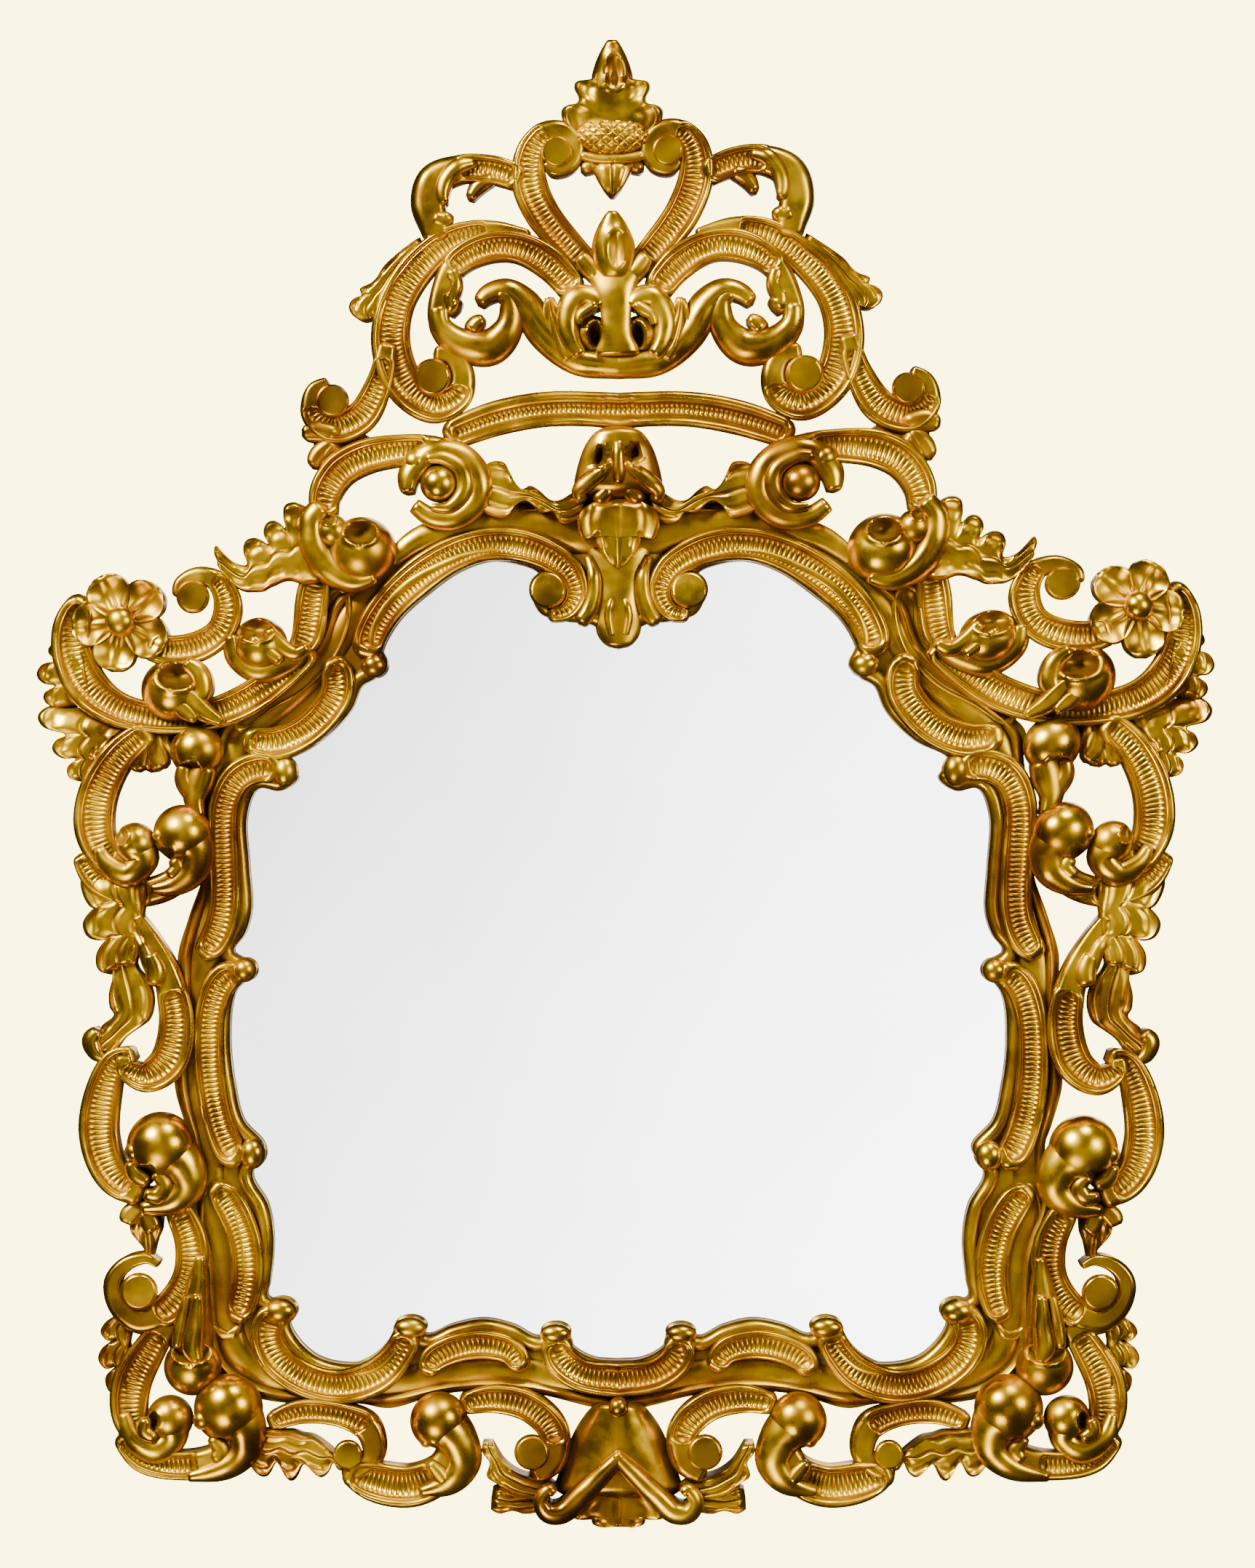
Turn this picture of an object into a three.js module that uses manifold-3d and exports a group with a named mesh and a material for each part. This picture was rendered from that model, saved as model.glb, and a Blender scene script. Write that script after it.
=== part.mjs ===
// A carved and gilded wall mirror in the rococo manner: one pierced limewood frame with an open cresting,
// a shaped plate of mirror glass in a rebate behind the sight edge, and a thin backboard behind the glass.
// Millimetres. +X is to the right as you face the glass, +Z is up and the front faces -Y.
// The origin is on the flat back of the frame, behind the bell on the top rail, where it hangs.
import * as THREE from "three";
import { mergeVertices } from "three/addons/utils/BufferGeometryUtils.js";
import Module from "manifold-3d";

const wasm = await Module();
wasm.setup();

// How far each kind of carving stands forward of the flat back.
const GROUND_HIGH = 27;
const SIGHT_HIGH = 40;
const SCROLL_HIGH = 46;
const LEAF_HIGH = 36;
const LIMB_HIGH = 50;
const BALL_HIGH = 62;
const CREST_HIGH = 38;

// The glass, the board behind it, the rebate that holds both, and the gap between fitted pieces.
const REBATE_DEEP = 16;
const GLASS_THICK = 4;
const BOARD_THICK = 7;
const GAP = 0.3;

// Carving that lies on the ground starts inside it, in front of the rebate.
const ON_GROUND = 18;

// Sections across a form, as [share of the half width, share of the height].
const CHANNEL = [[-1, 0], [-0.82, 1], [0, 0.78], [0.82, 1], [1, 0]];
const RIDGE = [[-1, 0], [-0.62, 1], [0.62, 1], [1, 0]];
const BLADE = [[-1, 0], [-0.9, 0.85], [0, 1], [0.9, 0.85], [1, 0]];

// How finely a curved form is faceted: one facet for each turn of this angle, or this length if straight.
// A moulding on the ground takes coarser facets, because the ground's own outline shows there.
const TURN_PER_FACET = 0.84;
const LENGTH_PER_FACET = 110;
const COARSER = 1.7;
const SMALL_SIDES = 6;
const LARGE_SIDES = 8;
const LARGE_BALL = 24;

// The cresting leans a little, and the right-hand wing was carved larger and higher than the left.
const LEAN = { from: 60, to: 260, by: -5.5 };
const RIGHT_HAND_SHIFTS = [
  { at: [430, -125], reach: 95, by: [19, 14] },
  { at: [258, 55], reach: 55, by: [3, 10] },
  { at: [232, 160], reach: 45, by: [0, 9] },
  { at: [140, 290], reach: 45, by: [1, 9] },
  { at: [236, -55], reach: 60, by: [6, 0] },
  { at: [470, -310], reach: 90, by: [8, 0] },
  { at: [415, -590], reach: 90, by: [7, -3] },
];

// Half the outline of the opening that shows the glass, from the top middle to the bottom middle, and half
// the outline of the ground that carries the mouldings, as [out from the middle, up from the origin].
const SIGHT_OUTLINE = [
  [0, -150], [22, -130], [48, -126], [70, -119], [78, -100], [71, -84], [95, -74], [125, -73], [157, -84],
  [187, -101], [208, -126], [213, -146], [206, -165], [217, -177], [229, -184], [239, -206], [264, -232],
  [296, -250], [286, -266], [302, -278], [322, -276], [332, -300], [330, -345], [328, -385], [334, -406],
  [344, -421], [326, -434], [343, -460], [347, -500], [343, -540], [335, -572], [316, -596], [327, -621],
  [313, -648], [308, -680], [311, -715], [313, -731], [293, -735], [293, -757], [272, -782], [246, -790],
  [220, -787], [203, -772], [186, -749], [172, -764], [148, -755], [120, -750], [93, -756], [71, -766],
  [55, -754], [40, -775], [22, -785], [0, -787],
];
const GROUND_OUTLINE = [
  [0, -16], [72, -20], [108, -22], [134, -32], [175, -42], [205, -66], [240, -92], [262, -108], [264, -140],
  [280, -155], [306, -178], [340, -203], [364, -224], [362, -255], [374, -292], [370, -345], [384, -390],
  [394, -425], [392, -462], [394, -505], [397, -540], [388, -575], [379, -605], [392, -645], [374, -685],
  [370, -750], [366, -790], [334, -817], [290, -826], [232, -826], [204, -830], [160, -818], [110, -814],
  [70, -818], [0, -832],
];
const GLASS_OUTLINE = [
  [0, -72], [112, -62], [165, -72], [212, -102], [230, -140], [244, -186], [262, -214], [304, -244],
  [338, -266], [346, -300], [343, -385], [356, -430], [359, -500], [354, -560], [340, -620], [323, -672],
  [322, -736], [306, -765], [282, -792], [248, -801], [200, -797], [0, -797],
];

// Every carved form. A row is [out, up, half]: how far out from the middle of the mirror, how far above
// the origin, and half the form's width there. Most forms are carved on both sides of the middle.
const carved = [];
const scroll = (rows, high = SCROLL_HIGH, back = 0) => carved.push({ rows, high, back, section: CHANNEL });
const limb = (rows, high = LIMB_HIGH, back = 0) => carved.push({ rows, high, back, section: RIDGE });
const leaf = (rows, high = LEAF_HIGH, back = 0) => carved.push({ rows, high, back, section: BLADE, cut: true });
const ball = (out, up, radius, high = BALL_HIGH) => carved.push({ out, up, radius, high, rounded: true });
const button = (out, up, radius, high = SCROLL_HIGH) => carved.push({ out, up, radius, high });
const inMiddle = () => Object.assign(carved[carved.length - 1], { middle: true });

function sightMouldings() {
  scroll([[60, -118, 4], [42, -112, 7], [38, -96, 9], [47, -78, 12], [68, -65, 14], [92, -58, 15],
    [120, -58, 15], [150, -68, 16], [180, -88, 17], [206, -113, 16], [221, -138, 15], [226, -160, 13]],
  SIGHT_HIGH, ON_GROUND);
  button(63, -98, 16, SIGHT_HIGH + 4);
  scroll([[256, -158, 9], [251, -172, 14], [251, -190, 15], [262, -208, 15], [282, -226, 15],
    [308, -236, 15], [336, -231, 11]], SIGHT_HIGH, ON_GROUND);
  scroll([[300, -262, 13], [320, -257, 14], [340, -266, 14], [352, -290, 14], [352, -340, 14],
    [352, -385, 14], [360, -410, 14], [374, -426, 10]], SIGHT_HIGH, ON_GROUND);
  scroll([[336, -437, 12], [354, -448, 14], [364, -475, 14], [365, -520, 14], [359, -565, 14],
    [346, -600, 14], [334, -606, 12]], SIGHT_HIGH, ON_GROUND);
  scroll([[364, -630, 9], [350, -643, 14], [336, -672, 15], [331, -705, 15], [337, -738, 13],
    [344, -752, 9]], SIGHT_HIGH, ON_GROUND);
  scroll([[303, -738, 13], [314, -760, 15], [306, -784, 16], [278, -804, 16], [246, -810, 16],
    [214, -799, 16], [196, -780, 14], [186, -758, 13]], SIGHT_HIGH, ON_GROUND);
  scroll([[172, -800, 9], [165, -785, 12], [144, -775, 13], [118, -772, 13], [96, -778, 12], [84, -796, 9]],
    SIGHT_HIGH, ON_GROUND);
  scroll([[56, -762, 13], [52, -785, 15], [34, -799, 15], [0, -804, 16]], SIGHT_HIGH, ON_GROUND);
  inMiddle();
  leaf([[0, -100, 24], [0, -126, 29], [0, -138, 18], [0, -151, 4]], LEAF_HIGH, ON_GROUND);
  inMiddle();
}

function topRail() {
  scroll([[156, 38, 12], [132, 47, 14], [105, 56, 15], [65, 62, 16], [0, 62, 18]], CREST_HIGH);
  inMiddle();
  scroll([[260, -36, 12], [261, -12, 15], [248, 8, 16], [226, 20, 16], [200, 25, 15], [170, 29, 12],
    [143, 23, 11], [128, 4, 11], [130, -18, 11], [146, -33, 10], [166, -31, 9], [178, -16, 6]]);
  button(162, -7, 17, LIMB_HIGH + 2);
  limb([[0, 45, 12], [0, 28, 30], [0, 0, 38], [0, -16, 45], [0, -27, 36]], LIMB_HIGH + 6);
  inMiddle();
  leaf([[0, -10, 22], [0, -36, 32], [0, -52, 20], [0, -70, 4]], LEAF_HIGH + 6, ON_GROUND);
  inMiddle();
  leaf([[38, -22, 12], [60, -26, 16], [84, -12, 14], [104, -4, 19], [122, -2, 16]], LEAF_HIGH + 4);
  ball(229, -64, 30);
  ball(255, -46, 17, LIMB_HIGH);
  leaf([[266, -62, 26], [288, -64, 33], [296, -68, 22], [316, -72, 30], [334, -80, 16], [356, -64, 5]],
    LEAF_HIGH + 4);
}

function cresting() {
  scroll([[50, 278, 4], [39, 292, 6], [46, 309, 8], [62, 312, 9], [77, 296, 12], [80, 268, 15],
    [68, 238, 15], [45, 210, 13], [22, 186, 12]], CREST_HIGH);
  button(54, 293, 14, CREST_HIGH + 4);
  scroll([[84, 268, 12], [116, 276, 12], [148, 277, 13], [168, 264, 17], [167, 240, 15], [160, 214, 13]],
    CREST_HIGH);
  scroll([[78, 216, 6], [112, 223, 8], [148, 215, 11], [180, 188, 15], [199, 155, 16], [203, 120, 17],
    [190, 84, 18], [164, 66, 15], [143, 73, 12], [137, 92, 9], [147, 110, 7], [164, 112, 4]], CREST_HIGH);
  button(166, 91, 20, CREST_HIGH + 4);
  leaf([[178, 210, 5], [205, 194, 8], [226, 172, 15], [230, 146, 8]], CREST_HIGH - 8);
  scroll([[36, 164, 13], [62, 193, 14], [92, 208, 13], [122, 206, 13], [146, 191, 12], [157, 165, 10],
    [159, 140, 9], [148, 124, 8]], CREST_HIGH + 4);
  limb([[158, 134, 9], [140, 121, 13], [112, 119, 15], [96, 138, 11], [100, 160, 9], [122, 158, 4]],
    CREST_HIGH + 6);
  limb([[104, 170, 6], [84, 158, 13], [62, 124, 15], [32, 105, 13], [0, 102, 12]], CREST_HIGH + 6);
  inMiddle();
  scroll([[208, 120, 6], [215, 84, 12], [232, 54, 14], [258, 47, 13], [275, 62, 8], [272, 82, 5]],
    CREST_HIGH);
  button(255, 71, 15, CREST_HIGH + 4);
  leaf([[200, 26, 10], [240, 34, 9], [266, 29, 16], [280, 38, 5]], CREST_HIGH - 8);
}

function crestMiddle() {
  leaf([[0, 104, 16], [0, 138, 12], [0, 164, 42], [0, 184, 26], [0, 200, 14], [0, 214, 18], [0, 238, 3]],
    CREST_HIGH + 8);
  inMiddle();
  button(22, 128, 17, CREST_HIGH + 4);
  leaf([[0, 252, 3], [0, 278, 22], [0, 290, 28], [0, 304, 44], [0, 318, 44], [0, 326, 48], [0, 338, 38],
    [0, 354, 32], [0, 364, 18], [0, 380, 13], [0, 395, 3]], CREST_HIGH);
  inMiddle();
}

function wings() {
  scroll([[266, -70, 11], [273, -105, 14], [278, -140, 14], [290, -158, 9]], SCROLL_HIGH - 4);
  ball(323, -148, 24);
  limb([[342, -146, 9], [322, -166, 10], [294, -154, 12]], SCROLL_HIGH);
  scroll([[478, -116, 10], [487, -148, 16], [477, -180, 18], [452, -202, 15], [414, -212, 13],
    [370, -211, 13], [332, -197, 14], [300, -174, 13], [276, -156, 10]]);
  scroll([[386, -112, 5], [378, -92, 7], [360, -90, 9], [349, -110, 12], [355, -136, 12], [380, -150, 12],
    [424, -146, 12]]);
  ball(396, -188, 28);
  leaf([[484, -160, 16], [504, -176, 18], [497, -200, 10]], LEAF_HIGH - 6);
  leaf([[452, -216, 22], [484, -216, 14], [517, -212, 4]], LEAF_HIGH - 4);
  leaf([[430, -226, 18], [466, -244, 17], [486, -262, 7]], LEAF_HIGH - 4);
  leaf([[405, -212, 20], [416, -246, 20], [418, -264, 10]], LEAF_HIGH);
  ball(376, -244, 23);
  limb([[384, -246, 18], [376, -278, 14], [366, -300, 6]], SCROLL_HIGH);
}

function sides() {
  scroll([[418, -218, 10], [444, -247, 14], [464, -280, 18], [467, -316, 18], [452, -341, 12],
    [426, -344, 8]]);
  ball(431, -325, 19, LIMB_HIGH + 4);
  scroll([[481, -332, 5], [464, -356, 10], [430, -365, 12], [394, -354, 12], [376, -328, 11]]);
  ball(389, -316, 26);
  leaf([[448, -350, 18], [448, -372, 28], [446, -394, 28], [446, -410, 16], [452, -438, 4]], LEAF_HIGH + 4);
  leaf([[432, -396, 12], [438, -432, 24], [444, -450, 15], [445, -470, 22], [456, -496, 15], [475, -511, 8]],
    LEAF_HIGH);
  scroll([[422, -400, 6], [401, -445, 13], [395, -485, 15], [404, -520, 16], [422, -530, 13],
    [440, -520, 7]]);
  scroll([[432, -514, 7], [450, -520, 10], [460, -550, 16], [463, -588, 17], [450, -620, 15],
    [424, -638, 10]]);
  ball(408, -595, 31);
  limb([[384, -598, 12], [392, -624, 14], [412, -636, 15], [440, -634, 9]]);
  leaf([[424, -640, 22], [422, -664, 17], [419, -698, 4]], LEAF_HIGH);
  scroll([[396, -644, 11], [382, -680, 14], [386, -712, 14], [406, -738, 13], [430, -746, 10],
    [447, -728, 9], [438, -704, 8]]);
  button(427, -724, 18, SCROLL_HIGH + 3);
}

function corners() {
  limb([[374, -706, 8], [380, -750, 13], [381, -790, 22]], SCROLL_HIGH);
  ball(380, -794, 26);
  leaf([[428, -742, 12], [444, -762, 18], [446, -790, 15], [442, -838, 6]], LEAF_HIGH - 4);
  scroll([[396, -748, 10], [418, -780, 15], [431, -818, 17], [426, -852, 12]], SCROLL_HIGH - 4);
  ball(402, -838, 20);
  scroll([[442, -850, 7], [422, -870, 10], [388, -876, 12], [352, -870, 14], [332, -848, 14]]);
  ball(347, -830, 31);
}

function apron() {
  leaf([[332, -858, 14], [308, -864, 23], [292, -868, 19], [266, -870, 17], [240, -880, 10]], LEAF_HIGH);
  scroll([[312, -841, 6], [280, -832, 10], [248, -837, 10], [222, -848, 12], [219, -870, 9], [238, -882, 5]],
    LEAF_HIGH + 4);
  button(240, -868, 12, SCROLL_HIGH + 3);
  scroll([[246, -884, 8], [218, -893, 17], [184, -897, 19], [156, -882, 17], [142, -850, 14]]);
  ball(160, -840, 26);
  scroll([[142, -826, 8], [110, -820, 12], [78, -829, 13], [58, -852, 13], [62, -880, 9], [84, -888, 5]]);
  button(77, -868, 17, SCROLL_HIGH + 4);
  leaf([[116, -860, 7], [112, -882, 14], [92, -900, 18], [66, -912, 9]], LEAF_HIGH);
  limb([[116, -913, 7], [60, -913, 7]], LEAF_HIGH);
}

function shell() {
  limb([[0, -822, 14], [0, -848, 36], [0, -868, 47], [0, -912, 64]], LIMB_HIGH);
  inMiddle();
  limb([[-5, -872, 9], [26, -906, 11], [50, -920, 12], [66, -906, 9]], LIMB_HIGH + 10);
  leaf([[0, -900, 20], [0, -920, 26], [0, -936, 18]], LEAF_HIGH);
  inMiddle();
}

// Where a place on the left goes on the right, which isn't quite its mirror image.
function toRight(x, z) {
  const lean = 2 * LEAN.by * THREE.MathUtils.smoothstep(z, LEAN.from, LEAN.to);
  const place = [lean - x, z];
  for (const { at, reach, by } of RIGHT_HAND_SHIFTS) {
    const near = Math.exp(-((-x - at[0]) ** 2 + (z - at[1]) ** 2) / (2 * reach ** 2));
    place[0] += by[0] * near;
    place[1] += by[1] * near;
  }
  return place;
}

// The places along a form's centre line where its section is set, as {x, z, half}, closer where it turns.
function stations({ rows, cut, middle, back }) {
  const lean = (up) => LEAN.by * THREE.MathUtils.smoothstep(up, LEAN.from, LEAN.to);
  const upright = middle && rows[0][0] === 0;
  const places = rows.map(([out, up, half]) => new THREE.Vector3((upright ? lean(up) : 0) - out, up, half));
  const line = cut || upright ? places : facets(places, TURN_PER_FACET * (back ? COARSER : 1));
  const left = line.map((p) => ({ x: p.x, z: p.y, half: p.z }));
  if (!middle || upright) return left;
  const right = left.slice(0, -1).reverse().map(({ x, z, half }) => {
    const [rightX, rightZ] = toRight(x, z);
    return { x: rightX, z: rightZ, half };
  });
  return [...left, ...right];
}

// Points along the curve through some places, spaced so that each facet turns through about an angle.
function facets(places, angle) {
  const fine = new THREE.CatmullRomCurve3(places, false, "centripetal").getPoints(80);
  const spent = [0];
  let heading;
  fine.slice(1).forEach((p, i) => {
    const step = new THREE.Vector2(p.x - fine[i].x, p.y - fine[i].y);
    const turn = heading ? Math.abs(Math.atan2(heading.cross(step), heading.dot(step))) : 0;
    spent.push(spent[i] + turn / angle + step.length() / LENGTH_PER_FACET);
    heading = step;
  });
  const total = spent[spent.length - 1];
  const count = Math.max(2, Math.round(total));
  const line = [];
  for (let k = 0; k <= count; k++) {
    const wanted = Math.max(spent.findIndex((s) => s >= (total * k) / count - 1e-9), 0);
    line.push(fine[wanted]);
  }
  return line;
}

// A closed tube of the form's section, swept along its stations, with flat ends.
function sweep(form, onRight) {
  const line = stations(form);
  const { section, high, back } = form;
  const count = section.length;
  const points = [];
  const faces = [];
  line.forEach((p, i) => {
    const before = line[Math.max(i - 1, 0)];
    const after = line[Math.min(i + 1, line.length - 1)];
    const length = Math.hypot(after.x - before.x, after.z - before.z);
    const side = [(before.z - after.z) / length, (after.x - before.x) / length];
    for (const [share, rise] of section) {
      const x = p.x + side[0] * share * p.half;
      const z = p.z + side[1] * share * p.half;
      points.push([...place(x, z, onRight), back + (high - back) * rise]);
    }
    if (i === 0) return;
    for (let k = 0; k < count; k++) {
      const next = (k + 1) % count;
      const [a, b, c, d] = [(i - 1) * count + k, (i - 1) * count + next, i * count + next, i * count + k];
      faces.push([a, b, c], [a, c, d]);
    }
  });
  const end = (line.length - 1) * count;
  for (let k = 1; k < count - 1; k++) {
    faces.push([0, k + 1, k], [end, end + k, end + k + 1]);
  }
  return solid(points, faces);
}

// A rolled ball, widest a little behind its front, or a flat round eye.
function turned({ out, up, radius, high, rounded }, onRight) {
  const profile = rounded
    ? [[0, 2], [1, high - radius * 0.9], [0.7, high - radius * 0.22], [0, high]]
    : [[0, 2], [1, high - 3], [0, high]];
  return lathed(profile, rounded && radius >= LARGE_BALL ? LARGE_SIDES : SMALL_SIDES, 0, (x, z) =>
    place(x * radius - out, z * radius + up, onRight));
}

// The five-petalled flower on each wing, with its round middle. Each petal is two corners and a notch.
const FLOWER = { out: 443, up: -127, petal: 43, notch: 30, petals: 5, firstCorner: -0.63 };
function flower(onRight) {
  const profile = [[0, 2], [1, LIMB_HIGH], [0.3, LIMB_HIGH - 6], [0.3, BALL_HIGH], [0, BALL_HIGH + 4]];
  return lathed(profile, FLOWER.petals * 3, FLOWER.firstCorner, (x, z, corner) => {
    const reach = corner % 3 === 2 && Math.hypot(x, z) > 0.5 ? FLOWER.notch : FLOWER.petal;
    return place(x * reach - FLOWER.out, z * reach + FLOWER.up, onRight);
  });
}

// Where a place on the left goes: nowhere else, or to its partner on the right.
const place = (x, z, onRight) => (onRight ? toRight(x, z) : [x, z]);

// A body turned from a profile of [share of the radius, height], which set then puts in its place.
function lathed(profile, sides, start, set) {
  const outline = profile.map(([r, y]) => new THREE.Vector2(r, y));
  const lathe = new THREE.LatheGeometry(outline, sides, start);
  const at = lathe.attributes.position;
  const points = [];
  for (let i = 0; i < at.count; i++) {
    const corner = Math.floor(i / profile.length) % sides;
    points.push([...set(at.getX(i), at.getZ(i), corner), at.getY(i)]);
  }
  const index = lathe.index.array;
  const faces = [];
  for (let i = 0; i < index.length; i += 3) faces.push([index[i], index[i + 1], index[i + 2]]);
  return solid(points, faces);
}

// A closed body from [x, z, high] points, where high is the distance forward of the flat back.
function solid(points, faces) {
  const made = new THREE.BufferGeometry();
  made.setAttribute("position", new THREE.Float32BufferAttribute(points.flatMap(([x, z, h]) => [x, -h, z]), 3));
  made.setIndex(faces.flat());
  return asManifold(made);
}

// A manifold of a closed geometry, turned to face outwards.
function asManifold(geometry) {
  geometry.deleteAttribute("normal");
  geometry.deleteAttribute("uv");
  const merged = mergeVertices(geometry, 1e-3);
  const vertProperties = merged.attributes.position.array;
  const index = merged.index.array;
  const outward = [];
  const inward = [];
  for (let i = 0; i < index.length; i += 3) {
    const [a, b, c] = [index[i], index[i + 1], index[i + 2]];
    if (a === b || b === c || a === c) continue;
    outward.push(a, b, c);
    inward.push(a, c, b);
  }
  const build = (list) =>
    new wasm.Manifold(new wasm.Mesh({ numProp: 3, vertProperties, triVerts: new Uint32Array(list) }));
  const body = build(outward);
  return body.volume() > 0 ? body : build(inward);
}

function asGeometry(body) {
  const { vertProperties, triVerts, numProp } = body.getMesh();
  const made = new THREE.BufferGeometry();
  made.setAttribute("position", new THREE.BufferAttribute(new Float32Array(vertProperties), numProp));
  made.setIndex(new THREE.BufferAttribute(triVerts, 1));
  return made;
}

// A whole outline from its left half, moved outwards by grow from the middle of the glass.
const GLASS_MIDDLE = -440;
function wholeOutline(half, grow = 0) {
  const moved = half.map(([out, up]) => {
    const share = 1 + grow / Math.hypot(out, up - GLASS_MIDDLE);
    return new THREE.Vector2(-out * share, GLASS_MIDDLE + (up - GLASS_MIDDLE) * share);
  });
  return [...moved, ...moved.slice(1, -1).reverse().map((p) => new THREE.Vector2(-p.x, p.y))];
}

// A flat plate of an outline, between two distances forward of the flat back.
function plate(outline, back, front, opening) {
  const shape = new THREE.Shape(outline);
  if (opening) shape.holes.push(new THREE.Path(opening));
  const made = new THREE.ExtrudeGeometry(shape, { depth: front - back, bevelEnabled: false });
  made.rotateX(Math.PI / 2);
  made.translate(0, -back, 0);
  return made;
}

function carvedFrame() {
  [sightMouldings, topRail, cresting, crestMiddle, wings, sides, corners, apron, shell]
    .forEach((carve) => carve());
  const ground = plate(wholeOutline(GROUND_OUTLINE), 0, GROUND_HIGH, wholeOutline(SIGHT_OUTLINE));
  const bodies = [asManifold(ground), flower(false), flower(true)];
  for (const form of carved) {
    const make = form.rows ? sweep : turned;
    bodies.push(make(form, false));
    if (!form.middle) bodies.push(make(form, true));
  }
  const rebate = plate(wholeOutline(GLASS_OUTLINE, GAP), -5, REBATE_DEEP + GAP);
  return wasm.Manifold.union(bodies).subtract(asManifold(rebate));
}

function named(name, geometry, colour, roughness, metalness) {
  const material = new THREE.MeshStandardMaterial({ color: colour, roughness, metalness });
  const mesh = new THREE.Mesh(geometry, material);
  mesh.name = name;
  return mesh;
}

const GLASS_BACK = REBATE_DEEP - GLASS_THICK;
const BOARD_FRONT = GLASS_BACK - GAP;
const mirror = new THREE.Group();
mirror.add(named("carved_frame", asGeometry(carvedFrame()), 0xb98a2c, 0.35, 1));
mirror.add(named("mirror_plate", plate(wholeOutline(GLASS_OUTLINE), GLASS_BACK, REBATE_DEEP), 0xdfe1e2, 0.03, 1));
mirror.add(named("backboard", plate(wholeOutline(GLASS_OUTLINE), BOARD_FRONT - BOARD_THICK, BOARD_FRONT),
  0x8a6a45, 0.8, 0));

export default mirror;
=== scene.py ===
"""A carved and gilded rococo wall mirror: its fine carving, gilding, glass and backboard."""
import logging
import math
from dataclasses import dataclass
from enum import Enum

import bmesh
import bpy
import numpy as np
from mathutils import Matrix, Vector


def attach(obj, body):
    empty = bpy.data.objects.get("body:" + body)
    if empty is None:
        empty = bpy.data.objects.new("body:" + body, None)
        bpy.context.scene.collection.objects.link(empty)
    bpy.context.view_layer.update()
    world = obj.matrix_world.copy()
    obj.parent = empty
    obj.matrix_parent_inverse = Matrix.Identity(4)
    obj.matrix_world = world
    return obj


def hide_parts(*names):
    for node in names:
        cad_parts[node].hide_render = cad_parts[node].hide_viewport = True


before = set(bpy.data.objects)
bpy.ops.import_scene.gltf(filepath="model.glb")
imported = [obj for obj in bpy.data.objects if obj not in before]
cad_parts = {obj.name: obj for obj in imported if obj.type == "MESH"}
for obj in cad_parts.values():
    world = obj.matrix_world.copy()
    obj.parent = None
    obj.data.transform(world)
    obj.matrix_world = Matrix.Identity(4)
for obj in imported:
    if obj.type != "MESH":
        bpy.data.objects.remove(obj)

log = logging.getLogger("giltwood_mirror")
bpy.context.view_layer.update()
MM = 0.001

Row = tuple[float, float, float]
Point = tuple[float, float]
Colour = tuple[float, float, float, float]
Section = tuple[np.ndarray, np.ndarray, np.ndarray]

# How far each kind of carving stands forward of the flat back, in millimetres.
GROUND_HIGH = 27.0
SIGHT_HIGH = 40.0
SCROLL_HIGH = 46.0
LEAF_HIGH = 36.0
LIMB_HIGH = 50.0
BALL_HIGH = 62.0
CREST_HIGH = 38.0
REBATE_DEEP = 16.3
ON_GROUND = 18.0

# The comb of fine cuts across a scroll's hollow, and the spacing of the stations along other forms.
RIB_PITCH = 4.4
RIB_CUTS = (-1.0, 0.15, 0.6, 0.4)
RIB_DEEP = 0.85
PLAIN_STEP = 2.2
BLADE_STEP = PLAIN_STEP * 0.75
CHANNEL_SHARE = 0.58

# How unevenly the surfaces are tooled, and how far a section leans into a bend.
TOOLED = 0.5
INWARD = 0.14
BEND_WINDOW = 25
SHARPEST_BEND = 0.92

# Where a form's walls meet its back, as a share of its half width, and how much painted shade darkens them.
WALL_SHARE = 0.86
WALL_RECESS = 0.6

# The five-part average that softens a leaf's edge.
EDGE_BLUR = (0.12, 0.23, 0.3, 0.23, 0.12)

# Neighbouring forms are sawn off behind at slightly different depths.
BACK_STEP = 0.3
BACK_STEPS = 8

# The cresting leans a little, and the right-hand wing is larger and higher than the left.
LEAN_FROM, LEAN_TO, LEAN_BY = 60.0, 260.0, -5.5
RIGHT_HAND_SHIFTS = (
    ((430, -125), 95, (19, 14)),
    ((258, 55), 55, (3, 10)),
    ((232, 160), 45, (0, 9)),
    ((140, 290), 45, (1, 9)),
    ((236, -55), 60, (6, 0)),
    ((470, -310), 90, (8, 0)),
    ((415, -590), 90, (7, -3)),
)

SIGHT_OUTLINE: tuple[Point, ...] = (
    (0, -150), (22, -130), (48, -126), (70, -119), (78, -100), (71, -84), (95, -74), (125, -73), (157, -84),
    (187, -101), (208, -126), (213, -146), (206, -165), (217, -177), (229, -184), (239, -206), (264, -232),
    (296, -250), (286, -266), (302, -278), (322, -276), (332, -300), (330, -345), (328, -385), (334, -406),
    (344, -421), (326, -434), (343, -460), (347, -500), (343, -540), (335, -572), (316, -596), (327, -621),
    (313, -648), (308, -680), (311, -715), (313, -731), (293, -735), (293, -757), (272, -782), (246, -790),
    (220, -787), (203, -772), (186, -749), (172, -764), (148, -755), (120, -750), (93, -756), (71, -766),
    (55, -754), (40, -775), (22, -785), (0, -787),
)
GROUND_OUTLINE: tuple[Point, ...] = (
    (0, -16), (72, -20), (108, -22), (134, -32), (175, -42), (205, -66), (240, -92), (262, -108),
    (264, -140), (280, -155), (306, -178), (340, -203), (364, -224), (362, -255), (374, -292), (370, -345),
    (384, -390), (394, -425), (392, -462), (394, -505), (397, -540), (388, -575), (379, -605), (392, -645),
    (374, -685), (370, -750), (366, -790), (334, -817), (290, -826), (232, -826), (204, -830), (160, -818),
    (110, -814), (70, -818), (0, -832),
)
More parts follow.
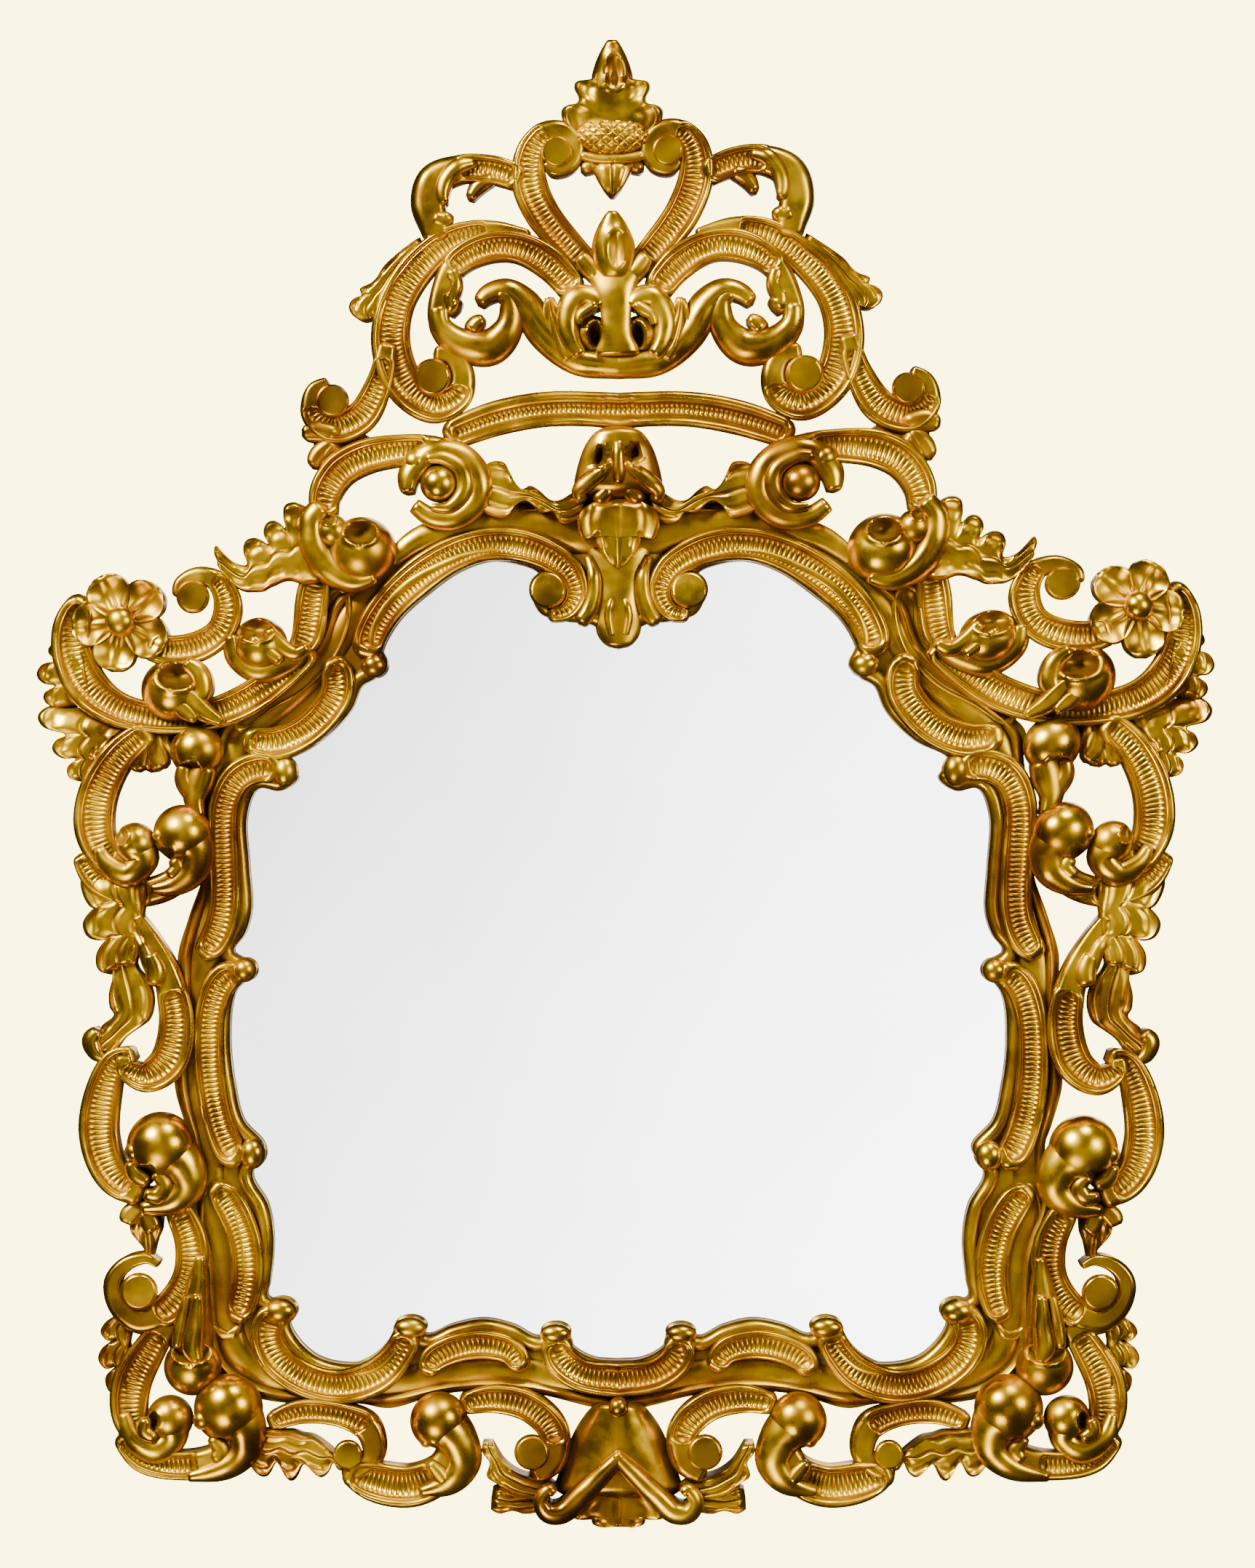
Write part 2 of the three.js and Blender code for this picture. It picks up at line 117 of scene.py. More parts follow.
GLASS_OUTLINE: tuple[Point, ...] = (
    (0, -72), (112, -62), (165, -72), (212, -102), (230, -140), (244, -186), (262, -214), (304, -244),
    (338, -266), (346, -300), (343, -385), (356, -430), (359, -500), (354, -560), (340, -620), (323, -672),
    (322, -736), (306, -765), (282, -792), (248, -801), (200, -797), (0, -797),
)


class Style(Enum):
    """How a swept member is carved across its width."""

    RIBBED = "two rims and a combed hollow"
    COVED = "two rims and a plain hollow"
    ROUND = "a rounded limb"
    ACANTHUS = "a lobed leaf with veins"
    PETAL = "a smooth dished petal"


class Face(Enum):
    """How a round boss is finished in front."""

    BALL = "a full round ball"
    EYE = "a low domed eye with a rim"
    HATCHED = "a cushion cut with crossed lines"


@dataclass(frozen=True)
class Hollow:
    """An oval hollow sunk into a form, with a slightly raised lip. Millimetres."""

    out: float
    up: float
    wide: float
    tall: float
    deep: float
    lip: float = 1.2


@dataclass(frozen=True)
class Member:
    """A form carved along a centre line, given by rows of (out, up, half width). Millimetres."""

    rows: tuple[Row, ...]
    style: Style
    high: float
    back: float = 0.0
    lobes: float = 0.0
    middle: bool = False
    hollows: tuple[Hollow, ...] = ()
    panel: Point = (0.0, 1.0)
    ends: float = 0.8
    channel: float = CHANNEL_SHARE
    crown: float = 0.95
    dip: Point = (0.0, 0.0)
    taper: float = 0.0
    from_ball: bool = False


@dataclass(frozen=True)
class Boss:
    """A round or oval form that stands on the carving. Millimetres."""

    out: float
    up: float
    wide: float
    tall: float
    high: float
    face: Face = Face.BALL
    back: float = 3.0
    middle: bool = False
    hollows: tuple[Hollow, ...] = ()
    tilt: float = 0.0


@dataclass(frozen=True)
class Blade:
    """A leaf drawn by its edges, in rungs of (out, up, out, up) from its root to its tip. Millimetres."""

    rungs: tuple[tuple[float, float, float, float], ...]
    high: float
    back: float = 0.0
    middle: bool = False
    dip: Point = (6.0, 0.0)
    relief: float = 9.0
    slant: float = 0.1
    vein: float = 1.0


Form = Member | Boss | Blade


def bloom(edge: tuple[Point, ...], high: float, back: float = 0.0, **more: object) -> Blade:
    """A leaf on the middle line, whose two edges are alike."""
    return Blade(tuple((out, up, -out, up) for out, up in edge), high, back, True, **more)


def scroll(rows: tuple[Row, ...], high: float = SCROLL_HIGH, back: float = 0.0, **more: object) -> Member:
    """A scroll with two rims and a combed hollow."""
    return Member(rows, Style.RIBBED, high, back, **more)


def limb(rows: tuple[Row, ...], high: float = LIMB_HIGH, back: float = 0.0, **more: object) -> Member:
    """A rounded limb."""
    return Member(rows, Style.ROUND, high, back, **more)


def leaf(rows: tuple[Row, ...], high: float = LEAF_HIGH, lobes: float = 3.0, **more: object) -> Member:
    """An acanthus leaf."""
    return Member(rows, Style.ACANTHUS, high, lobes=lobes, **more)


def curl(at: Row, tail: tuple[Row, ...], high: float = BALL_HIGH, *hollows: Hollow) -> list[Form]:
    """A leaf end rolled up into a ball, with the strap that it rolls up from.

    Args:
        at: The ball, as (out, up, radius).
        tail: The strap's rows, from beside the ball to its thin end.
        high: The ball's height.
        *hollows: Crevices between the ball and the strap.

    Returns:
        The ball and the strap.
    """
    out, up, radius = at
    strap = limb(((out, up, radius * 0.97), *tail), high - 0.6, taper=0.7, from_ball=True, hollows=hollows)
    return [Boss(out, up, radius, radius, high, hollows=hollows), strap]


def frond(root: Point, tips: tuple[Point, ...], half: float, high: float = LEAF_HIGH,
          bow: float = 0.14) -> list[Member]:
    """The lobes of a leaf, which fan out from one root and turn forward at their tips.

    Args:
        root: Where the lobes spring from.
        tips: Where each ends.
        half: The half width of a lobe at its broadest.
        high: How far forward the tips stand.
        bow: How far each lobe bows sideways, as a share of its length.

    Returns:
        The lobes.
    """
    made = []
    for out, up in tips:
        along_out, along_up = out - root[0], up - root[1]
        rows = tuple((root[0] + along_out * t - along_up * bow * math.sin(math.pi * t),
                      root[1] + along_up * t + along_out * bow * math.sin(math.pi * t), half * w)
                     for t, w in ((0.0, 0.5), (0.3, 0.85), (0.65, 1.0), (0.88, 0.75), (1.0, 0.35)))
        made.append(limb(rows, high, lobes=1.0, crown=0.6, dip=(9, 0)))
    return made


def ball(out: float, up: float, radius: float, high: float = BALL_HIGH, *hollows: Hollow) -> Boss:
    """A rolled ball."""
    return Boss(out, up, radius, radius, high, hollows=hollows)


def eye(out: float, up: float, radius: float, high: float = SCROLL_HIGH, tilt: float = 0.16) -> Boss:
    """The round eye of a volute, tilted down a little where the tilt is positive."""
    return Boss(out, up, radius, radius, high, Face.EYE, tilt=tilt)


def smoothstep(value: np.ndarray, low: float, high: float) -> np.ndarray:
    """A smooth rise from 0 at low to 1 at high."""
    t = np.clip((value - low) / (high - low), 0, 1)
    return t * t * (3 - 2 * t)


def ripple(value: np.ndarray, at: float, half: float) -> np.ndarray:
    """A smooth swell of 1 at one value, gone by about twice the half width."""
    return np.exp(-(((value - at) / half) ** 2))


def eased(value: np.ndarray, reach: int) -> np.ndarray:
    """A row of values averaged along itself over a soft window."""
    window = np.hanning(2 * reach + 1)
    return np.convolve(np.pad(value, reach, "edge"), window / window.sum(), "valid")


def lean_at(z: np.ndarray) -> np.ndarray:
    """How far the middle line leans across at some heights, in millimetres."""
    return LEAN_BY * smoothstep(z, LEAN_FROM, LEAN_TO)


def to_right(x: np.ndarray, z: np.ndarray) -> tuple[np.ndarray, np.ndarray]:
    """Where places on the left go on the right, which isn't quite their mirror image.

    Args:
        x: Places across, in millimetres, negative on the left.
        z: Heights, in millimetres.

    Returns:
        The partners' places across and heights.
    """
    across = 2 * lean_at(z) - x
    up = z.astype(float).copy()
    for (out, height), reach, (by_x, by_z) in RIGHT_HAND_SHIFTS:
        near = np.exp(-((-x - out) ** 2 + (z - height) ** 2) / (2 * reach**2))
        across = across + by_x * near
        up = up + by_z * near
    return across, up


def spline(rows: np.ndarray, step: float, closed: bool = False) -> np.ndarray:
    """Points at an even spacing along a centripetal curve through some rows.

    Args:
        rows: One row for each point, as (x, z) or (x, z, half width).
        step: The spacing wanted, in millimetres.
        closed: Whether the curve comes back to its start.

    Returns:
        The points, with their half widths where the rows have them.
    """
    if closed:
        p = np.vstack([rows[-1], rows, rows[:2]])
    else:
        p = np.vstack([2 * rows[0] - rows[1], rows, 2 * rows[-1] - rows[-2]])
    fine = []
    for p0, p1, p2, p3 in zip(p, p[1:], p[2:], p[3:]):
        d0, d1, d2 = (max(np.linalg.norm(b - a), 1e-4) ** 0.5 for a, b in ((p0, p1), (p1, p2), (p2, p3)))
        m1 = ((p1 - p0) / d0 - (p2 - p0) / (d0 + d1) + (p2 - p1) / d1) * d1
        m2 = ((p2 - p1) / d1 - (p3 - p1) / (d1 + d2) + (p3 - p2) / d2) * d1
        t = np.linspace(0, 1, 40, endpoint=False)[:, None]
        fine.append(p1 * (2 * t**3 - 3 * t**2 + 1) + m1 * (t**3 - 2 * t**2 + t)
                    + p2 * (3 * t**2 - 2 * t**3) + m2 * (t**3 - t**2))
    line = np.vstack([*fine, rows[:1] if closed else rows[-1:]])
    along = np.concatenate([[0], np.cumsum(np.hypot(*np.diff(line[:, :2], axis=0).T))])
    count = max(3, round(along[-1] / step))
    at = np.linspace(0, along[-1], count + 1)
    even = np.column_stack([np.interp(at, along, line[:, k]) for k in range(line.shape[1])])
    return even[:-1] if closed else even


def whole_outline(half: tuple[Point, ...], step: float = 6.0, easing: int = 0) -> np.ndarray:
    """A whole outline, smoothed, from its left half.

    Args:
        half: The left half, as (out, up) from the top down.
        step: The spacing of its points.
        easing: How many times its points are averaged with their neighbours.

    Returns:
        The outline, as (x, z) in millimetres.
    """
    left = np.array([(-out, up) for out, up in half], float)
    right = np.array([(out, up) for out, up in half[1:-1]], float)[::-1]
    outline = spline(np.vstack([left, right]), step, closed=True)
    for _ in range(easing):
        outline = (np.roll(outline, 1, axis=0) + outline + np.roll(outline, -1, axis=0)) / 3
    return outline


def end_round(line: np.ndarray, share: float, both: bool = True) -> np.ndarray:
    """A factor that rounds a form off at both ends.

    Args:
        line: The centre line, as (x, z, half width).
        share: How far the rounding reaches, as a share of the half width at that end.
        both: Whether the first end is rounded as well as the last.

    Returns:
        The factor at each station, from 0 to 1.
    """
    length = np.hypot(*np.diff(line[:, :2], axis=0).T)
    along = np.concatenate([[0], np.cumsum(length)])
    factor = np.ones(len(line))
    ends = ((along, line[1, 2]), (along[-1] - along, line[-2, 2]))
    for far, half in ends if both else ends[1:]:
        near = np.clip(far / (min(half * share, along[-1] * 0.35) + 1e-6), 0, 1)
        factor *= np.sqrt(1 - (1 - near) ** 2)
    return factor


def course(line: np.ndarray) -> tuple[np.ndarray, np.ndarray, np.ndarray]:
    """How a centre line runs.

    Args:
        line: The line, as (x, z, half width).

    Returns:
        How far along each station is, the unit vector to its side, and how fast the line turns there.
    """
    along = np.concatenate([[0], np.cumsum(np.hypot(*np.diff(line[:, :2], axis=0).T))])
    ahead = np.gradient(line[:, :2], axis=0)
    ahead /= np.linalg.norm(ahead, axis=1)[:, None] + 1e-9
    side = np.column_stack([-ahead[:, 1], ahead[:, 0]])
    turn = np.gradient(np.unwrap(np.arctan2(ahead[:, 1], ahead[:, 0]))) / (np.gradient(along) + 1e-9)
    return along, side, turn


def fit_bends(share: np.ndarray, half: np.ndarray, turn: np.ndarray) -> np.ndarray:
    """Sets a section out sideways, leaning into a bend and never past the bend's centre.

    Args:
        share: The section's points at each station, as shares of the half width.
        half: The half width at each station.
        turn: How fast the line turns there.

    Returns:
        How far to the side each point stands, in millimetres.
    """
    window = np.ones(BEND_WINDOW) / BEND_WINDOW
    bend = np.convolve(np.pad(turn, BEND_WINDOW // 2, "edge"), window, "valid")
    share = share + INWARD * np.tanh(bend * 60)[:, None] * (1 - share**2)
    offset = share * half[:, None]
    limit = SHARPEST_BEND / (np.abs(turn) + 1e-6)
    inner = offset * np.sign(turn)[:, None] > 0
    return np.where(inner, np.sign(offset) * np.minimum(np.abs(offset), limit[:, None]), offset)


def settle(member: Member, along: np.ndarray, half: np.ndarray, rounding: np.ndarray,
           high: np.ndarray) -> np.ndarray:
    """Lowers a member's front where it dips, narrows and rounds off.

    Args:
        member: The member.
        along: How far along each station is.
        half: The half width at each station.
        rounding: The factor that rounds its ends.
        high: The section's height at each station and point.

    Returns:
        The new heights.
    """
    low = 0.45 if member.style is Style.ROUND else 0.7
    t = along / along[-1]
    sag = member.dip[0] * (1 - smoothstep(t, 0, 0.35)) + member.dip[1] * smoothstep(t, 0.65, 1)
    sag = sag + member.taper * (half.max() - half)
    high = high - sag[:, None] * (high > member.back)
    return member.back + (high - member.back) * (low + (1 - low) * rounding)[:, None]


def half_blade(blade: Blade, edge: np.ndarray, middle: np.ndarray, side: np.ndarray,
               reach: int) -> list[np.ndarray]:
    """The part of a leaf between its middle line and one edge.

    Args:
        blade: The leaf.
        edge: The edge, as (x, z).
        middle: The middle line, as (x, z).
        side: Where each point of the section is, from 0 on the middle line to 1 on the edge.
        reach: How many stations each way a lobe is measured against.

    Returns:
        The places across, the heights up the wall, the rise over the leaf's own height, and the recess.
    """
    out = edge - middle
    far = np.hypot(*out.T)
    longest = np.array([far[max(0, k - reach): k + reach + 1].max() for k in range(len(far))])
    lobe = (far / (eased(longest, reach) + 1e-6))[:, None]
    tip = smoothstep(lobe, 0.75, 1.0)
    vein = blade.vein * ripple(side, 0, 0.07)
    rise = (blade.relief * (lobe - 0.8) * smoothstep(side, 0.12, 0.8) - 1.8 * vein
            - 3.0 * tip * ripple(side, 0.66, 0.16) + 1.5 * ripple(side, 0.9, 0.07)
            - 7.0 * smoothstep(side, 0.92, 1.0))
    recess = (1.1 * np.clip(0.9 - lobe, 0, 1) * smoothstep(side, 0.1, 0.5) + 0.35 * vein
              + 0.45 * tip * ripple(side, 0.66, 0.14))
    return [middle[:, :1] + out[:, :1] * side, middle[:, 1:] + out[:, 1:] * side, rise, recess]


def walled(grid: np.ndarray, middle: np.ndarray) -> np.ndarray:
    """A leaf's places with a column added at each side, where its walls meet the back."""
    first, last = (middle + WALL_SHARE * (grid[:, k] - middle) for k in (0, -1))
    return np.column_stack([first, grid, last])


class Bench:
    """Carves forms into one mesh and delivers it as a finished piece."""

    def __init__(self) -> None:
        """Starts with an empty mesh that carries how deep each point lies in a recess."""
        self.mesh = bmesh.new()
        # The recess value becomes painted shade and grime in the gilding: the deeper a place lies, the darker
        # it is coloured.
        self.recess = self.mesh.verts.layers.float.new("recess")
        self.bodies = 0

    def carve(self, member: Member) -> None:
        """Carves a member, and its partner on the right if it isn't on the middle line.

        Args:
            member: The form to carve.
        """
        rows = np.array(member.rows, float)
        upright = member.middle and np.all(np.abs(rows[:, 0]) < 1)
        rows[:, 0] *= -1
        if upright:
            rows[:, 0] += lean_at(rows[:, 1])
        step = RIB_PITCH / len(RIB_CUTS) if member.style is Style.RIBBED else PLAIN_STEP
        line = spline(rows, step)
        if member.middle and not upright:
            x, z = to_right(line[:-1, 0], line[:-1, 1])
            line = np.vstack([line, np.column_stack([x, z, line[:-1, 2]])[::-1]])
        self._sweep(member, line, False)
        if not member.middle:
            self._sweep(member, line, True)

    def _sweep(self, member: Member, line: np.ndarray, on_right: bool) -> None:
        """Sweeps a member's section along its line as a closed body.

        Args:
            member: The member.
            line: Its centre line, as (x, z, half width).
            on_right: Whether this is the partner on the right.
        """
        along, side, turn = course(line)
        half = line[:, 2]
        rounding = end_round(line, member.ends, not member.from_ball)
        share, high, recess = SECTIONS[member.style](member, along, half)
        offset = fit_bends(share, half * (0.2 + 0.8 * rounding), turn)
        x = line[:, :1] + side[:, :1] * offset
        z = line[:, 1:2] + side[:, 1:2] * offset
        high = settle(member, along, half, rounding, high)
        unevenness = np.sin(x * 0.13 + 1.7 * np.sin(z * 0.05)) * np.sin(z * 0.11 + 1.3)
        high = high + TOOLED * unevenness * (high > 20)
        high, recess = sink(member.hollows, x, z, high, recess)
        if on_right:
            x, z = to_right(x, z)
        self._tube(x, z, high, recess)

    def spread(self, blade: Blade) -> None:
        """Carves a leaf between its edges, with a fold to each tip and a valley to each notch.

        Args:
            blade: The leaf to carve.
        """
        rungs = np.array(blade.rungs, float)
        rungs[:, ::2] *= -1
        if blade.middle:
            rungs[:, ::2] += lean_at(rungs[:, 1::2])
        even = spline(rungs, BLADE_STEP)
        even = np.column_stack([np.convolve(np.pad(row, 2, "edge"), EDGE_BLUR, "valid") for row in even.T])
        reach = max(3, len(even) // 9)
        t = np.linspace(0, 1, len(even))
        lagging = t - blade.slant * np.sin(math.pi * t)
        middle = np.column_stack([
            np.interp(lagging, t, eased((even[:, k] + even[:, k + 2]) / 2, reach)) for k in (0, 1)])
        u = np.linspace(1, -1, 35)
        halves = [half_blade(blade, edge, middle, np.abs(side)[None, :], reach)
                  for edge, side in ((even[:, :2], u[u >= 0]), (even[:, 2:], u[u < 0]))]
        x, z, rise, recess = (np.hstack(pair) for pair in zip(*halves))
        sag = blade.dip[0] * (1 - smoothstep(t, 0, 0.4)) + blade.dip[1] * smoothstep(t, 0.55, 1)
        width = np.hypot(*(even[:, :2] - even[:, 2:]).T)
        ending = 0.6 + 0.4 * end_round(np.column_stack([middle, width / 2]), 0.6)
        high = blade.back + (blade.high - sag[:, None] + rise - blade.back) * ending[:, None]
        sides = ((0, 0), (1, 1))
        x, z = walled(x, middle[:, 0]), walled(z, middle[:, 1])
        high = np.pad(high, sides, constant_values=blade.back)
        recess = np.pad(recess, sides, constant_values=WALL_RECESS)
        self._tube(x, z, high, recess)
        if not blade.middle:
            self._tube(*to_right(x, z), high, recess)

    def _tube(self, x: np.ndarray, z: np.ndarray, high: np.ndarray, recess: np.ndarray) -> None:
        """Makes a closed tube from a grid of places, its ends drawn in to a point.

        Args:
            x: Places across, one row for each station and one column for each point of the section.
            z: Heights up the wall.
            high: Distances forward of the flat back.
            recess: How deep each place lies in a recess, from 0 to 1.
        """
        self.bodies += 1
        sawn = BACK_STEP * (1 + self.bodies % BACK_STEPS)
        grid = np.stack([x, -np.maximum(high, sawn), z, recess], axis=2)
        grid[0] = grid[0].mean(axis=0)
        grid[-1] = grid[-1].mean(axis=0)
        self._wrap(np.concatenate([grid, grid[:, :1]], axis=1))

    def _wrap(self, grid: np.ndarray) -> None:
        """Lays a grid over places whose borders meet, and joins it there.

        Args:
            grid: Rows of (x, y, z, recess), in millimetres.
        """
        rows, columns = grid.shape[:2]
        laid = bmesh.ops.create_grid(self.mesh, x_segments=columns - 1, y_segments=rows - 1, size=1)
        made = laid["verts"]
        for vert, (px, py, pz, deep) in zip(made, (grid.reshape(-1, 4) * (MM, MM, MM, 1)).tolist()):
            vert.co = (px, py, pz)
            vert[self.recess] = deep
        seam = [v for k, v in enumerate(made)
                if k % columns in (0, columns - 1) or k < columns or k >= (rows - 1) * columns]
        bmesh.ops.remove_doubles(self.mesh, verts=seam, dist=1e-7)

    def ring(self, outline: np.ndarray, half: float, inward: float, low: float, high: float) -> None:
        """Sweeps a rounded bead round a closed outline.

        Args:
            outline: The outline, as (x, z) in millimetres.
            half: The bead's half width.
            inward: How far its middle stands from the outline, positive towards the outside.
            low: Its back's distance forward of the flat back.
            high: Its front's distance.
        """
        flow = np.roll(outline, -1, axis=0) - np.roll(outline, 1, axis=0)
        for _ in range(3):
            flow = (np.roll(flow, 1, axis=0) + flow + np.roll(flow, -1, axis=0)) / 3
        flow /= np.linalg.norm(flow, axis=1)[:, None] + 1e-9
        outward = np.column_stack([-flow[:, 1], flow[:, 0]])
        if ((outline - outline.mean(axis=0)) * outward).sum() < 0:
            outward = -outward
        turn = np.linspace(0, 2 * math.pi, 13)
        reach = inward + half * np.cos(turn)
        x = outline[:, :1] + outward[:, :1] * reach
        z = outline[:, 1:2] + outward[:, 1:2] * reach
        y = -np.broadcast_to(low + (high - low) * (0.5 + 0.5 * np.sin(turn)), x.shape)
        # The bead gets only a faint painted shade.
        faint_shade = np.full(x.shape, 0.05)
        grid = np.stack([x, y, z, faint_shade], axis=2)
        self._wrap(np.concatenate([grid, grid[:1]], axis=0))

    def turn(self, boss: Boss) -> None:
        """Turns a boss, and its partner on the right if it isn't on the middle line."""
        for on_right in (False,) if boss.middle else (False, True):
            self._turn(boss, on_right)

    def _turn(self, boss: Boss, on_right: bool) -> None:
        """Turns one boss from a sphere.

        Args:
            boss: The boss.
            on_right: Whether this is the partner on the right.
        """
        fine = 4 if boss.face is Face.HATCHED else 2 if boss.hollows else 1
        fall = np.linspace(0, math.pi, 18 * fine + 1)[:, None]
        round_about = np.linspace(0, 2 * math.pi, 32 * fine, endpoint=False)[None, :]
        lean = float(lean_at(np.array(boss.up))) if boss.middle else 0.0
        x = np.sin(fall) * np.cos(round_about) * boss.wide - boss.out + lean
        z = np.sin(fall) * np.sin(round_about) * boss.tall + boss.up
        reach = np.sin(fall) + 0 * round_about
        front = np.cos(fall) + 0 * round_about
        high, recess = (low_eye if boss.face is Face.EYE else full_ball)(boss, x, z, reach, front)
        high, recess = sink(boss.hollows, x, z, high, recess)
        if on_right:
            x, z = to_right(x, z)
        self._tube(x, z, high, recess)

    def board(self, outer: np.ndarray, inner: np.ndarray | None, back: float, front: float) -> None:
        """Saws a flat board, with an opening if there is an inner outline.

        Args:
            outer: The outer outline, as (x, z) in millimetres.
            inner: The opening's outline, or None.
            back: The back face's distance forward of the flat back.
            front: The front face's distance.
        """
        edges = []
        for outline in (outer,) if inner is None else (outer, inner):
            ring = [self.mesh.verts.new((x * MM, -back * MM, z * MM)) for x, z in outline.tolist()]
            edges += [self.mesh.edges.new(pair) for pair in zip(ring, ring[1:] + ring[:1])]
        filled = bmesh.ops.triangle_fill(self.mesh, edges=edges, use_beauty=True)["geom"]
        faces = [g for g in filled if isinstance(g, bmesh.types.BMFace)]
        raised = bmesh.ops.extrude_face_region(self.mesh, geom=faces, use_keep_orig=True)["geom"]
        verts = [g for g in raised if isinstance(g, bmesh.types.BMVert)]
        bmesh.ops.translate(self.mesh, verts=verts, vec=(0, -(front - back) * MM, 0))

    def deliver(self, name: str, material: bpy.types.Material) -> bpy.types.Object:
        """Finishes the mesh as a piece in the scene.

        Args:
            name: The piece's name.
            material: What it is finished with.

        Returns:
            The piece.
        """
        bmesh.ops.recalc_face_normals(self.mesh, faces=self.mesh.faces)
        data = bpy.data.meshes.new(name)
        for face in self.mesh.faces:
            face.smooth = True
        self.mesh.to_mesh(data)
        self.mesh.free()
        data.set_sharp_from_angle(angle=math.radians(62))
        data.materials.append(material)
        piece = bpy.data.objects.new(name, data)
        bpy.context.collection.objects.link(piece)
        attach(piece, "root")
        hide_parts("carved_frame")
        return piece


def low_eye(boss: Boss, x: np.ndarray, z: np.ndarray, reach: np.ndarray,
            front: np.ndarray) -> tuple[np.ndarray, np.ndarray]:
    """The front of a volute's eye: low, tilted a little and eased at its rim.

    Args:
        boss: The eye.
        x: Its places across. Not used.
        z: Its heights up the wall.
        reach: How far out from its axis each place is, from 0 to 1.
        front: How far it faces forward, from 1 to -1.

    Returns:
        Its distances forward of the back, and its recess.
    """
    dome = boss.high - 0.8 * reach**2 - 5.0 * smoothstep(reach, 0.88, 1.0) + boss.tilt * (z - boss.up)
    wall = boss.back + (boss.high - 6 - boss.back) * np.clip(1 + front, 0, 1) ** 0.4
    return np.where(front > 0, dome, wall), 0.6 * smoothstep(reach, 0.9, 1.0)


def full_ball(boss: Boss, x: np.ndarray, z: np.ndarray, reach: np.ndarray,
              front: np.ndarray) -> tuple[np.ndarray, np.ndarray]:
    """The front of a ball or of a cushion, which is cut with crossed lines where its face says so.

    Args:
        boss: The ball.
        x: Its places across.
        z: Its heights up the wall.
        reach: How far out from its axis each place is, from 0 to 1. Not used.
        front: How far it faces forward, from 1 to -1.

    Returns:
        Its distances forward of the back, and its recess.
    """
    deep = min(boss.wide, boss.tall) * 0.95
    belly = boss.high - deep
    high = np.where(front > 0, belly + deep * front, belly + front * max(belly - boss.back, 0.0))
    if boss.face is not Face.HATCHED:
        return high, np.zeros(x.shape)
    lines = np.minimum(np.abs((x + z * 1.2) % 11 - 5.5), np.abs((x - z * 1.2) % 11 - 5.5))
    cut = ripple(lines, 0, 1.2) * (front > 0)
    return high - 2.0 * cut, 0.8 * cut


def sink(hollows: tuple[Hollow, ...], x: np.ndarray, z: np.ndarray, high: np.ndarray,
         recess: np.ndarray) -> tuple[np.ndarray, np.ndarray]:
    """Sinks hollows into a surface.

    Args:
        hollows: The hollows, whose places are out from the middle on the left.
        x: The surface's places across, still on the left.
        z: Its heights up the wall.
        high: Its distances forward of the back.
        recess: How deep each place lies in a recess already.

    Returns:
        The new distances and recess depths.
    """
    for h in hollows:
        d = np.hypot((x + h.out) / h.wide, (z - h.up) / h.tall)
        cup = np.clip(1 - d**2, 0, 1) ** 0.9
        front = high > h.deep
        high = high - np.where(front, cup * h.deep - h.lip * ripple(d, 1.12, 0.16), 0)
        recess = np.maximum(recess, np.clip(cup, 0, 0.7) * front)
    return high, recess


def rimmed(member: Member, along: np.ndarray, half: np.ndarray) -> Section:
    """The section of a scroll: rounded rims with a fillet inside, and a hollow with round ends.

    Args:
        member: The member.
        along: How far along each station is.
        half: The half width at each station.

    Returns:
        The share of the half width, the height and the recess for each station and section point.
    """
    rim = ((1.0, 5.5), (0.93, 2.6), (0.78, 0.8), (0.58, 0.0), (0.38, 0.7), (0.24, 2.4), (0.06, 2.0),
           (0.0, 3.6))
    floor = ((0.86, 5.5), (0.45, 6.8), (0.0, 7.2))
    total = along[-1]
    spare = np.minimum(half * 0.7, total * 0.2)
    first = np.maximum(member.panel[0] * total, spare)
    last = np.minimum(member.panel[1] * total, total - spare)
    reach = np.maximum(half * member.channel, 1.0)
    near = np.clip(np.minimum(along - first, last - along) / reach, 0, 1)
    channel = member.channel * np.sqrt(1 - (1 - near) ** 2)
    sunk = channel / member.channel
    swell = np.clip(half / 14, 0.5, 1.15)
    rib = np.array([RIB_CUTS[k % len(RIB_CUTS)] for k in range(len(along))]) * RIB_DEEP
    if member.style is Style.COVED:
        rib = np.zeros(len(along))
    half_share, half_high, half_recess = [], [], []
    for w, drop in rim:
        half_share.append(channel + (1 - channel) * w)
        half_high.append(member.high - drop * swell * (sunk if w < 0.5 else 1.9 - 0.9 * sunk))
        # The fillets beside the rims are darkened with painted shade.
        half_recess.append((0.8 if w in (0.0, 0.24) else 0.0) * sunk)
    for v, drop in floor:
        half_share.append(channel * v)
        half_high.append(member.high - drop * swell * sunk + rib * sunk * min(1.0, 1.8 * (1 - v) + 0.3))
        # The rib cuts are darkened into dark lines with painted shade.
        half_recess.append(np.clip(0.3 - 0.65 * rib / RIB_DEEP, 0, 1) * sunk)
    share = np.array(half_share + [-s for s in half_share[-2::-1]]).T
    high = np.array(half_high + half_high[-2::-1]).T
    recess = np.array(half_recess + half_recess[-2::-1]).T
    return with_back(member, share, high, recess)


def with_back(member: Member, share: np.ndarray, high: np.ndarray, recess: np.ndarray) -> Section:
    """Closes a section with walls that draw in a little towards a flat back.

    Args:
        member: The member.
        share: The section's points at each station, as shares of the half width.
        high: Their heights.
        recess: How deep each lies in a recess.

    Returns:
        The same three, with a column added at each side.
    """
    sides = ((0, 0), (1, 1))
    return (np.pad(share, sides, constant_values=((0, 0), (WALL_SHARE, -WALL_SHARE))),
            np.pad(high, sides, constant_values=member.back),
            np.pad(recess, sides, constant_values=WALL_RECESS))


